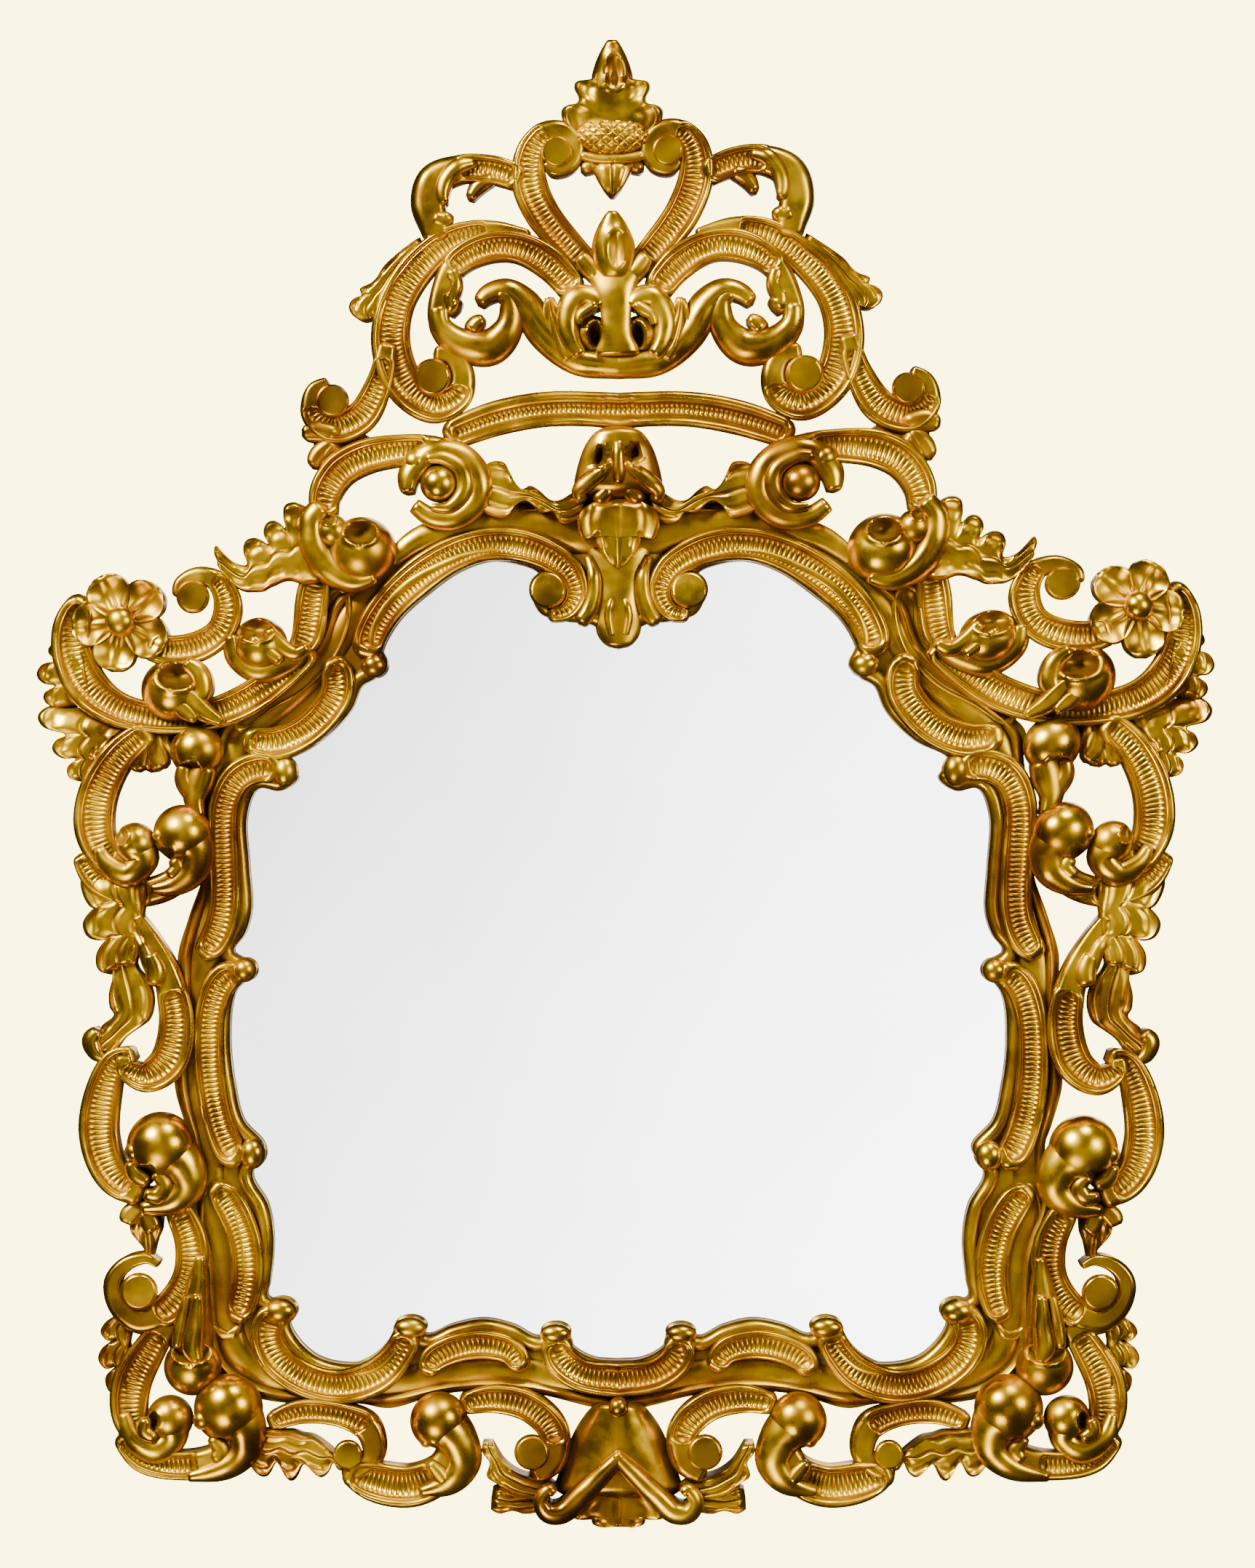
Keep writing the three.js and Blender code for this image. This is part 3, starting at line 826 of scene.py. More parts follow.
def rounded(member: Member, along: np.ndarray, half: np.ndarray) -> Section:
    """The section of a rounded limb, with lengthwise flutes where it has lobes.

    Args:
        member: The member.
        along: How far along each station is.
        half: The half width at each station.

    Returns:
        The share of the half width, the height and the recess for each station and section point.
    """
    u = np.sin(np.linspace(math.pi / 2, -math.pi / 2, 19))[None, :]
    deep = np.minimum(half * member.crown, (member.high - member.back) * 0.6)[:, None]
    high = member.high - deep * (1 - np.sqrt(np.clip(1 - u**2, 0, 1)))
    flute = np.zeros_like(high)
    if member.lobes:
        flute = flute + np.clip(np.cos(u * math.pi * member.lobes), 0, 1) ** 2
        high = high - np.minimum(half / 9, 2.0)[:, None] * flute
    recess = np.clip(np.abs(u) * 1.6 - 1.2, 0, 0.4) + 0.4 * flute
    return with_back(member, np.repeat(u, len(along), axis=0), high, recess)


def acanthus(member: Member, along: np.ndarray, half: np.ndarray) -> Section:
    """The section of an acanthus leaf: a midrib, and lobes whose veins sweep forward to scalloped edges.

    Args:
        member: The member.
        along: How far along each station is.
        half: The half width at each station.

    Returns:
        The share of the half width, the height and the recess for each station and section point.
    """
    u = np.linspace(1, -1, 31)[None, :]
    side = np.abs(u)
    t = (along / along[-1])[:, None]
    phase = member.lobes * t - 0.6 * side
    ridge = np.abs(np.sin(math.pi * phase)) ** 0.8
    scallop = np.abs(np.sin(math.pi * (member.lobes * t - 0.6))) ** 0.7
    share = u * (1.04 - 0.42 * (1 - scallop) * smoothstep(side, 0.15, 1.0))
    midrib = ripple(side, 0, 0.09)
    fine = np.sin(2 * math.pi * 2.5 * phase)
    swell = np.clip(half[:, None] / 14, 0.4, 1.2)
    high = member.high - 6.0 * side**2 + swell * (
        7.0 * (ridge - 0.75) * smoothstep(side, 0.04, 0.5) - 2.6 * midrib + 0.5 * fine * side)
    high = high + swell * 2.0 * ripple(side, 0.9, 0.07) - 6.0 * smoothstep(side, 0.93, 1.0)
    recess = np.clip((1 - ridge) * 1.2 * smoothstep(side, 0.05, 0.4) + 0.5 * midrib, 0, 1)
    return with_back(member, share, high, recess)


def petal(member: Member, along: np.ndarray, half: np.ndarray) -> Section:
    """The section of a petal: dished, with a fold along the middle and a turned-up edge.

    Args:
        member: The member.
        along: How far along each station is.
        half: The half width at each station. Not used.

    Returns:
        The share of the half width, the height and the recess for each station and section point.
    """
    u = np.linspace(1, -1, 21)[None, :]
    t = (along / along[-1])[:, None]
    side = np.abs(u)
    dish = 9 * (1 - side**2) * np.sin(math.pi * t)
    high = member.high - dish + 4.0 * ripple(side, 0, 0.14) * (1 - t)
    high = high - 3.0 * smoothstep(t, 0.8, 1.0) - 6.0 * smoothstep(side, 0.88, 1.0)
    recess = np.clip(0.9 * (1 - side) * (1 - t) ** 0.5, 0, 1)
    return with_back(member, np.repeat(u, len(along), axis=0), high, recess)


SECTIONS = {
    Style.RIBBED: rimmed,
    Style.COVED: rimmed,
    Style.ROUND: rounded,
    Style.ACANTHUS: acanthus,
    Style.PETAL: petal,
}


@dataclass(frozen=True)
class CarvedPart:
    """One stretch of the carving, made as one piece."""

    name: str

    def forms(self) -> list[Form]:
        """The forms that this stretch is carved with.

        Returns:
            The forms, with the left one of each pair.
        """
        raise NotImplementedError

    def prepare(self, bench: Bench) -> None:
        """Anything sawn before the carving."""

    def build(self, material: bpy.types.Material) -> bpy.types.Object:
        """Carves the stretch.

        Args:
            material: What it is finished with.

        Returns:
            The piece.
        """
        bench = Bench()
        self.prepare(bench)
        for form in self.forms():
            match form:
                case Boss():
                    bench.turn(form)
                case Blade():
                    bench.spread(form)
                case _:
                    bench.carve(form)
        return bench.deliver(self.name, material)


@dataclass(frozen=True)
class Ground(CarvedPart):
    """The ground board and its rebate, with the rounded edge round the glass."""

    name: str = "ground_and_rebate"
    edge_half: float = 7.0
    edge_high: float = 34.0
    rim_half: float = 6.0
    rim_high: float = 34.0
    swell_half: float = 15.0
    swell_high: float = 31.5

    def forms(self) -> list[Form]:
        """The broad plain panels of the ground.

        Returns:
            The forms, with the left one of each pair.
        """
        return [
            Member(((357, -624, 10), (358, -650, 17), (354, -690, 22), (352, -730, 20), (348, -770, 12)),
                   Style.COVED, GROUND_HIGH + 6, ON_GROUND),
            Member(((250, -92, 10), (252, -120, 14), (262, -150, 14), (285, -178, 12), (318, -200, 10),
                    (345, -222, 10)), Style.COVED, GROUND_HIGH + 6, ON_GROUND),
            Member(((0, -22, 30), (0, -60, 44), (0, -100, 26)), Style.ROUND, GROUND_HIGH + 5, ON_GROUND,
                   middle=True),
            limb(((206, -74, 7), (180, -54, 11), (145, -42, 13), (105, -36, 15), (68, -40, 19), (30, -46, 22),
                  (0, -48, 23)), GROUND_HIGH + 9, ON_GROUND, middle=True, crown=0.55),
        ]

    def prepare(self, bench: Bench) -> None:
        """Saws the board and the rebate behind it, and rounds the edge that overhangs the glass."""
        outer = whole_outline(GROUND_OUTLINE, 4.0)
        sight = whole_outline(SIGHT_OUTLINE, 3.5)
        bench.board(outer, sight, REBATE_DEEP, GROUND_HIGH)
        bench.board(outer, whole_outline(GLASS_OUTLINE, 4.0), 0.0, REBATE_DEEP + 1)
        low = REBATE_DEEP + 0.2
        bench.ring(sight, self.edge_half, self.edge_half, low, self.edge_high)
        bench.ring(sight, self.edge_half * 0.4, self.edge_half * 0.4, low, self.edge_high - 5)
        rim = whole_outline(GROUND_OUTLINE, 4.5, 18)
        bench.ring(rim, self.rim_half, -self.rim_half * 1.1, 6.0, self.rim_high)
        swell = whole_outline(GROUND_OUTLINE, 4.5, 72)
        bench.ring(swell, self.swell_half, -self.swell_half - 4, low, self.swell_high)


@dataclass(frozen=True)
class SightMoulding(CarvedPart):
    """The short scrolled mouldings that follow the sight edge, and the pendant at the top."""

    name: str = "sight_mouldings"

    def forms(self) -> list[Form]:
        """The mouldings of both sides.

        Returns:
            The forms, with the left one of each pair.
        """
        knobs = ((218, -166, 12, 11), (298, -261, 11, 14), (334, -438, 11, 11), (327, -602, 12, 14),
                 (302, -743, 15, 12), (186, -758, 15, 10), (56, -763, 14, 9))
        return [
            scroll(((64, -121, 6), (46, -117, 8), (37, -100, 10), (45, -80, 12), (66, -66, 14), (92, -58, 15),
                    (120, -58, 15), (150, -68, 16), (180, -88, 17), (206, -113, 16), (221, -138, 15),
                    (226, -160, 13)), SIGHT_HIGH, ON_GROUND),
            Boss(63, -98, 17, 17, SIGHT_HIGH + 4, Face.EYE, ON_GROUND, tilt=-0.26),
            scroll(((256, -158, 9), (251, -172, 14), (251, -190, 15), (262, -208, 15), (282, -226, 15),
                    (308, -236, 15), (336, -231, 11)), SIGHT_HIGH, ON_GROUND),
            scroll(((300, -262, 13), (320, -257, 14), (340, -266, 14), (352, -290, 14), (352, -340, 14),
                    (352, -385, 14), (360, -410, 14), (374, -426, 10)), SIGHT_HIGH, ON_GROUND),
            scroll(((336, -437, 12), (354, -448, 14), (364, -475, 14), (365, -520, 14), (359, -565, 14),
                    (346, -600, 14), (334, -606, 12)), SIGHT_HIGH, ON_GROUND),
            scroll(((364, -630, 9), (350, -643, 14), (336, -672, 15), (331, -705, 15), (337, -738, 13),
                    (344, -752, 9)), SIGHT_HIGH, ON_GROUND),
            scroll(((303, -738, 13), (314, -760, 15), (306, -784, 16), (278, -804, 16), (246, -810, 16),
                    (214, -799, 16), (196, -780, 14), (186, -758, 13)), SIGHT_HIGH, ON_GROUND),
            scroll(((172, -800, 9), (165, -785, 12), (144, -775, 13), (118, -772, 13), (96, -778, 12),
                    (84, -796, 9)), SIGHT_HIGH, ON_GROUND),
            scroll(((56, -762, 13), (52, -785, 15), (34, -799, 15), (0, -804, 16)), SIGHT_HIGH, ON_GROUND,
                   middle=True),
            limb(((0, -24, 42), (0, -46, 40), (0, -64, 31), (0, -84, 23), (0, -104, 20), (0, -124, 21),
                  (0, -138, 19), (0, -147, 12), (0, -151, 5)), SIGHT_HIGH - 2, ON_GROUND, middle=True,
                 ends=0.4, crown=0.4, dip=(18, 0)),
            limb(((28, -66, 4), (22, -84, 6), (22, -102, 7), (27, -118, 8), (36, -129, 6)), SIGHT_HIGH + 2,
                 ON_GROUND, dip=(6, 0)),
            limb(((4, -100, 2), (9, -120, 4), (6, -140, 3)), SIGHT_HIGH, ON_GROUND, dip=(4, 0)),
            *(Boss(out, up, wide, tall, SIGHT_HIGH + 3, Face.BALL, ON_GROUND)
              for out, up, wide, tall in knobs),
        ]


@dataclass(frozen=True)
class TopRail(CarvedPart):
    """The arched band, the two top scrolls, the bell with its leaves, and the rolled leaves beside them."""

    name: str = "top_rail"

    def bell(self) -> list[Form]:
        """The hooded bell with its two slits, drooping lips and the leaves that flow from it.

        Returns:
            The forms, with the left one of each pair.
        """
        hood = LIMB_HIGH + 6
        slits = (Hollow(16, 20, 4.5, 11, 18), Hollow(-14, 23, 4.5, 10, 18))
        return [
            limb(((0, 49, 10), (0, 42, 21), (0, 30, 30), (0, 14, 36), (0, -4, 40), (0, -22, 42)), hood,
                 middle=True, ends=0.5, crown=0.5, hollows=slits, dip=(2, 0)),
            limb(((0, 38, 5), (0, 20, 6), (0, 4, 7), (0, -8, 4)), hood + 4, middle=True, dip=(4, 3)),
            limb(((2, 16, 4), (14, 7, 7), (26, -2, 8), (35, -12, 7), (31, -22, 4)), hood + 3, hollows=slits,
                 dip=(2, 3)),
            limb(((6, -4, 4), (13, -14, 8), (24, -22, 6)), hood - 3, dip=(2, 3)),
            Blade(((28, -4, 22, -28), (42, -12, 34, -36), (52, -18, 45, -40), (61, -18, 55, -37),
                   (65, -15, 58, -29), (71, -9, 69, -30), (79, -5, 76, -24), (86, -9, 84, -19),
                   (92, -3, 93, -24), (97, 8, 99, -34), (102, 16, 110, -34), (114, 16, 120, -30),
                   (126, 8, 128, -22)), LIMB_HIGH - 4, dip=(4, 4), relief=6),
            bloom(((12, -16), (26, -22), (35, -31), (37, -43), (32, -55), (27, -52), (20, -44), (21, -54),
                   (17, -64), (8, -75), (1, -80)), LEAF_HIGH + 19, ON_GROUND, dip=(2, 3), relief=6, vein=0.4),
        ]

    def forms(self) -> list[Form]:
        """The forms of the top rail.

        Returns:
            The forms, with the left one of each pair.
        """
        return [
            scroll(((156, 36, 13), (132, 47, 15), (105, 56, 16), (65, 63, 16), (20, 63, 16), (0, 61, 17)),
                   CREST_HIGH, middle=True, channel=0.36),
            scroll(((262, -38, 12), (261, -12, 15), (248, 8, 16), (226, 20, 16), (200, 25, 15),
                    (170, 27, 13), (150, 24, 12)), panel=(0.02, 0.86)),
            limb(((188, -14, 6), (186, 4, 11), (167, 24, 12), (141, 22, 11), (124, 3, 11), (126, -19, 11),
                  (144, -35, 10), (166, -34, 9), (184, -22, 7)), LIMB_HIGH, ends=0.5),
            limb(((174, 18, 4), (156, 19, 7), (139, 8, 8), (137, -10, 8), (150, -25, 6), (168, -25, 3)),
                 LIMB_HIGH + 3),
            ball(160, -4, 17, LIMB_HIGH + 7),
            ball(181, 16, 11, LIMB_HIGH + 1),
            *self.bell(),
            ball(229, -64, 31, BALL_HIGH, Hollow(229, -48, 14, 11, 22, 2.4)),
            limb(((262, -20, 9), (274, -38, 12), (272, -60, 14), (256, -82, 13), (234, -92, 9),
                  (214, -88, 4)), LIMB_HIGH + 2),
            ball(255, -46, 15, LIMB_HIGH + 6, Hollow(258, -36, 6, 5, 8, 1.0)),
            Blade(((262, -30, 256, -90), (274, -26, 264, -92), (288, -20, 270, -93), (298, -23, 276, -94),
                   (299, -34, 282, -94), (297, -44, 288, -92), (304, -37, 293, -91), (313, -38, 299, -92),
                   (317, -48, 305, -95), (312, -58, 310, -97), (322, -52, 315, -100), (332, -54, 320, -101),
                   (335, -64, 326, -101), (331, -76, 331, -101), (342, -74, 337, -99), (352, -65, 344, -94),
                   (359, -58, 350, -88), (361, -64, 356, -80), (360, -70, 359, -75)), LEAF_HIGH + 10,
                  dip=(3, 0)),
        ]


@dataclass(frozen=True)
class Cresting(CarvedPart):
    """The open cresting: heart scrolls, arms, great C-scrolls and the bowl between them."""

    name: str = "cresting"

    def forms(self) -> list[Form]:
        """The forms of the cresting's two sides.

        Returns:
            The forms, with the left one of each pair.
        """
        return [
            scroll(((66, 284, 3), (58, 276, 5), (45, 281, 8), (38, 297, 9), (48, 310, 10), (64, 311, 10),
                    (77, 296, 13), (80, 268, 16), (68, 238, 16), (45, 210, 14), (22, 186, 12)),
                   CREST_HIGH, panel=(0.34, 1)),
            eye(55, 292, 14, CREST_HIGH + 5),
            scroll(((84, 268, 12), (112, 277, 13), (140, 278, 13), (164, 268, 16), (170, 248, 16),
                    (164, 226, 14), (160, 212, 12)), CREST_HIGH, panel=(0.02, 0.42)),
            limb(((126, 284, 4), (144, 279, 8), (155, 266, 8), (157, 252, 6), (153, 245, 3)), CREST_HIGH + 4,
                 dip=(4, 0)),
            limb(((168, 236, 6), (156, 232, 8), (150, 240, 5)), CREST_HIGH + 2),
            limb(((110, 270, 5), (124, 264, 8), (134, 250, 4)), CREST_HIGH - 2),
            scroll(((78, 217, 6), (112, 223, 9), (148, 215, 13), (180, 188, 16), (199, 155, 17),
                    (203, 120, 18), (190, 84, 18), (164, 66, 16), (143, 75, 13), (139, 94, 11), (148, 110, 9),
                    (166, 113, 7)), CREST_HIGH, panel=(0.12, 0.86)),
            eye(166, 91, 17, CREST_HIGH + 5),
            Blade(((176, 219, 170, 206), (190, 209, 182, 196), (202, 199, 192, 186), (211, 190, 199, 176),
                   (217, 180, 204, 166), (223, 175, 206, 161), (232, 171, 208, 158), (229, 165, 209, 156),
                   (236, 163, 210, 154), (241, 157, 211, 151), (240, 150, 212, 149), (235, 145, 214, 147),
                   (228, 142, 217, 145), (222, 143, 220, 144)), CREST_HIGH - 3, dip=(2, 0), relief=7),
            scroll(((36, 164, 13), (62, 193, 15), (92, 208, 14), (122, 206, 14), (146, 191, 12),
                    (158, 166, 10), (160, 142, 10), (150, 124, 9)), CREST_HIGH + 4, panel=(0, 0.66)),
            limb(((150, 190, 5), (146, 174, 8), (150, 158, 8), (141, 150, 11)), CREST_HIGH + 7,
                 hollows=(Hollow(153, 172, 4, 7, 8),)),
            limb(((162, 158, 7), (158, 136, 11), (140, 121, 15), (114, 119, 17), (97, 138, 13),
                  (98, 160, 9), (110, 168, 5)), CREST_HIGH + 6),
            limb(((134, 130, 8), (126, 140, 8), (118, 144, 4)), CREST_HIGH + 2),
            limb(((126, 156, 6), (116, 166, 9), (100, 170, 10), (84, 158, 14), (66, 130, 15), (36, 106, 13),
                  (0, 102, 12)), CREST_HIGH + 6, middle=True),
            scroll(((206, 124, 8), (213, 88, 12), (230, 56, 15), (256, 46, 14), (274, 60, 10), (272, 80, 7),
                    (258, 88, 5)), CREST_HIGH, panel=(0.1, 0.8)),
            eye(255, 70, 15, CREST_HIGH + 5),
            leaf(((200, 26, 10), (240, 34, 11), (262, 30, 15), (272, 26, 10)), CREST_HIGH - 6, 2.0),
            *frond((244, 34), ((284, 40), (274, 10), (262, 8)), 10, CREST_HIGH),
        ]


@dataclass(frozen=True)
class CrestMiddle(CarvedPart):
    """The husk in the bowl, and the bud over the cross-cut cushion at the top."""

    name: str = "crest_husk_and_finial"

    def forms(self) -> list[Form]:
        """The forms on the cresting's middle line.

        Returns:
            The forms, with the left one of each pair.
        """
        return [
            limb(((0, 108, 20), (0, 117, 19), (0, 128, 14), (0, 145, 13.5), (0, 160, 16), (0, 174, 21),
                  (0, 186, 27), (0, 198, 31)), CREST_HIGH + 13, middle=True, ends=0.2, crown=0.4, dip=(2, 4)),
            limb(((16, 178, 8), (28, 192, 9), (36, 202, 5)), CREST_HIGH + 9),
            ball(23, 130, 17, CREST_HIGH + 9, Hollow(21, 129, 7, 12, 22)),
            limb(((14, 152, 5), (24, 163, 9), (38, 162, 11), (46, 144, 11), (42, 122, 9), (32, 108, 6)),
                 CREST_HIGH + 12),
            limb(((18, 158, 3), (26, 152, 6), (34, 146, 5), (36, 136, 3)), CREST_HIGH + 13),
            leaf(((62, 164, 4), (58, 142, 10), (50, 122, 12), (38, 106, 9)), CREST_HIGH + 8, 1.0),
            limb(((0, 174, 9), (0, 190, 17), (0, 208, 19.5), (0, 224, 14), (0, 234, 8), (0, 241, 2)),
                 CREST_HIGH + 17, middle=True, crown=0.7, dip=(4, 3), hollows=(Hollow(2, 204, 7, 17, 7),)),
            bloom(((24, 292), (20, 282), (16, 272), (9, 260), (0.5, 252)), CREST_HIGH + 2, dip=(3, 3)),
            limb(((14, 290, 7), (24, 282, 8), (34, 276, 4)), CREST_HIGH - 2),
            Boss(0, 307, 36, 19, CREST_HIGH + 10, Face.HATCHED, middle=True),
            limb(((36, 290, 4), (20, 287, 5), (0, 286, 5)), CREST_HIGH + 2, middle=True),
            bloom(((30, 304), (38, 312), (45, 322), (45, 331), (38, 335), (31, 336), (30, 341), (34, 348),
                   (33, 355), (25, 357), (18, 358), (16, 364), (8, 371), (2, 374)), CREST_HIGH + 6,
                  dip=(0, 4), relief=4, slant=0.2, vein=0),
            limb(((0, 338, 12), (0, 346, 18), (0, 360, 18.5), (0, 374, 14.5), (0, 385, 9), (0, 394, 3)),
                 CREST_HIGH + 8, middle=True, crown=0.7, hollows=(Hollow(4, 362, 8, 16, 6),)),
        ]


@dataclass(frozen=True)
class Wings(CarvedPart):
    """The shoulders that spread to each side, with their flower, rolled leaves and C-scrolls."""

    name: str = "shoulder_wings"
    flower_out: float = 443.0
    flower_up: float = -127.0
    petals: int = 5
    first_petal: float = 66.0
    petal_shape: tuple[Point, ...] = ((5, 8), (13, 14), (24, 20), (34, 19), (41, 13), (46, 5))

    def petal_rows(self, turn: float) -> tuple[Row, ...]:
        """The rows of one petal, which points the way that the turn says, in radians."""
        across, up = math.cos(turn), math.sin(turn)
        return tuple((self.flower_out + far * across, self.flower_up + far * up, half)
                     for far, half in self.petal_shape)

    def flower(self) -> list[Form]:
        """Dished petals round a ball.

        Returns:
            The petals and the ball.
        """
        turns = [math.radians(self.first_petal + k * 360 / self.petals) for k in range(self.petals)]
        petals = [Member(self.petal_rows(turn), Style.PETAL, LIMB_HIGH + 1, ends=0.4) for turn in turns]
        return [*petals, ball(self.flower_out, self.flower_up, 14, BALL_HIGH + 3)]

    def forms(self) -> list[Form]:
        """The forms of the wings.

        Returns:
            The forms, with the left one of each pair.
        """
        return [
            scroll(((266, -70, 12), (273, -105, 15), (278, -140, 14), (290, -158, 9)), SCROLL_HIGH - 4),
            ball(320, -148, 25, LIMB_HIGH + 8, Hollow(322, -135, 15, 10, 18, 2.0)),
            limb(((346, -136, 6), (342, -158, 9), (322, -172, 10), (298, -164, 11), (278, -150, 8)),
                 SCROLL_HIGH + 2),
            limb(((314, -132, 5), (302, -148, 8), (288, -156, 7), (274, -148, 4)), LIMB_HIGH + 4),
            limb(((328, -140, 4), (314, -152, 6), (298, -164, 5)), LIMB_HIGH + 6),
            scroll(((474, -104, 12), (487, -130, 17), (486, -158, 19), (472, -186, 19), (446, -205, 16),
                    (410, -213, 14), (370, -211, 14), (332, -197, 15), (300, -174, 14), (272, -150, 11))),
            scroll(((424, -146, 13), (400, -153, 14), (372, -148, 14), (354, -134, 13), (348, -110, 13),
                    (358, -91, 10), (376, -86, 8), (390, -94, 7), (392, -106, 6)), panel=(0.0, 0.74)),
            eye(379, -105, 15, SCROLL_HIGH + 4),
            ball(398, -188, 28, BALL_HIGH, Hollow(393, -176, 17, 12, 20, 2.4)),
            limb(((388, -162, 5), (374, -172, 9), (370, -188, 9), (378, -204, 5)), LIMB_HIGH + 6),
            limb(((390, -186, 4), (380, -196, 9), (368, -208, 9), (350, -218, 3)), BALL_HIGH - 4, lobes=1.0),
            limb(((398, -196, 4), (386, -206, 8), (374, -216, 3)), BALL_HIGH - 4, lobes=1.0),
            Blade(((492, -140, 480, -142), (506, -146, 479, -148), (510, -154, 478, -154),
                   (501, -163, 476, -160), (514, -164, 475, -166), (520, -174, 474, -172),
                   (514, -182, 473, -178), (503, -184, 472, -183), (513, -190, 471, -188),
                   (513, -198, 470, -194), (500, -207, 469, -200)), LEAF_HIGH + 2, dip=(2, 2)),
            Blade(((498, -200, 430, -212), (512, -203, 434, -217), (519, -211, 438, -222),
                   (514, -221, 444, -227), (493, -228, 450, -231), (502, -232, 454, -236),
                   (506, -241, 458, -241), (497, -249, 461, -246), (484, -249, 464, -250),
                   (492, -256, 467, -255), (491, -266, 470, -261), (476, -271, 474, -268)),
                  LEAF_HIGH + 4, dip=(2, 0)),
            leaf(((405, -212, 18), (414, -238, 20), (418, -262, 8)), LEAF_HIGH, 2.0),
            *frond((414, -214), ((404, -258), (428, -262)), 11, LEAF_HIGH + 2),
            ball(376, -242, 24, LIMB_HIGH + 8, Hollow(382, -258, 11, 6, 12)),
            limb(((366, -250, 10), (374, -268, 14), (378, -286, 10), (372, -304, 4)), SCROLL_HIGH + 4),
            limb(((386, -252, 6), (388, -268, 8), (380, -282, 8), (372, -296, 5)), SCROLL_HIGH + 2),
            *self.flower(),
        ]


@dataclass(frozen=True)
class Sides(CarvedPart):
    """The open scrollwork down each side."""

    name: str = "side_scrollwork"

    def forms(self) -> list[Form]:
        """The forms of the sides.

        Returns:
            The forms, with the left one of each pair.
        """
        return [
            scroll(((416, -222, 11), (444, -245, 15), (464, -280, 18), (467, -314, 18), (454, -340, 14),
                    (432, -350, 10)), panel=(0, 0.86)),
            *curl((431, -325, 19), ((424, -340, 14), (438, -352, 12), (456, -342, 9), (464, -326, 4)),
                  LIMB_HIGH + 8, Hollow(442, -318, 6, 8, 12)),
            scroll(((482, -334, 7), (466, -358, 11), (432, -369, 13), (398, -360, 13), (380, -336, 12)),
                   SCROLL_HIGH - 2, panel=(0.0, 0.6)),
            *curl((389, -316, 26), ((377, -332, 17), (380, -350, 14), (396, -362, 10), (420, -366, 4)),
                  BALL_HIGH + 2, Hollow(403, -334, 8, 6, 14)),
            limb(((398, -336, 5), (392, -346, 8), (402, -356, 4)), LIMB_HIGH + 4),
            ball(408, -317, 7, LIMB_HIGH + 6),
            Blade(((470, -346, 424, -350), (480, -356, 421, -358), (479, -368, 420, -364),
                   (471, -382, 420, -372), (462, -383, 420, -378), (458, -377, 421, -383),
                   (470, -384, 422, -388), (478, -396, 422, -392), (473, -409, 423, -398),
                   (458, -411, 423, -404), (448, -403, 424, -409), (458, -411, 425, -414),
                   (466, -424, 426, -420), (464, -438, 428, -427), (452, -443, 430, -434)),
                  LEAF_HIGH + 9, dip=(4, 0)),
            Blade(((456, -420, 432, -418), (452, -444, 428, -436), (455, -458, 418, -448),
                   (454, -472, 413, -464), (450, -478, 416, -480), (462, -488, 428, -490),
                   (463, -495, 438, -497), (478, -500, 446, -508), (474, -512, 456, -516)), LEAF_HIGH + 5,
                  dip=(2, 0)),
            limb(((462, -490, 5), (470, -500, 9), (466, -512, 7), (456, -518, 3)), LEAF_HIGH + 9),
            limb(((432, -402, 4), (424, -416, 6), (416, -434, 8), (409, -444, 8)), LIMB_HIGH, dip=(6, 0)),
            scroll(((430, -388, 4), (417, -410, 8), (402, -444, 13), (394, -485, 16), (402, -520, 17),
                    (422, -533, 14), (440, -524, 9), (440, -512, 6)), panel=(0.38, 0.95)),
            limb(((418, -420, 6), (412, -440, 10), (414, -454, 7)), LIMB_HIGH + 2),
            scroll(((430, -512, 8), (449, -520, 12), (460, -550, 17), (463, -588, 18), (450, -622, 16),
                    (422, -640, 12)), panel=(0.03, 0.9)),
            *curl((408, -595, 31), ((388, -612, 20), (384, -630, 16), (398, -645, 12), (428, -650, 4)),
                  BALL_HIGH + 4, Hollow(421, -617, 10, 7, 16)),
            limb(((414, -616, 4), (404, -628, 8), (410, -638, 8), (424, -636, 4)), LIMB_HIGH + 6),
            ball(431, -599, 9, LIMB_HIGH + 6),
            limb(((436, -606, 4), (430, -620, 8), (416, -628, 5)), LIMB_HIGH + 2),
            leaf(((424, -642, 20), (422, -664, 17), (420, -684, 8), (419, -698, 3)), LEAF_HIGH, 2.0),
            *frond((420, -646), ((441, -666), (412, -672)), 9, LEAF_HIGH + 4),
            scroll(((396, -644, 12), (381, -680, 15), (383, -712, 15), (400, -738, 15), (426, -751, 12),
                    (446, -738, 9), (451, -716, 8), (439, -700, 7), (421, -695, 5), (409, -701, 3)),
                   panel=(0.0, 0.5)),
            eye(427, -724, 17, SCROLL_HIGH + 5, 0.03),
        ]


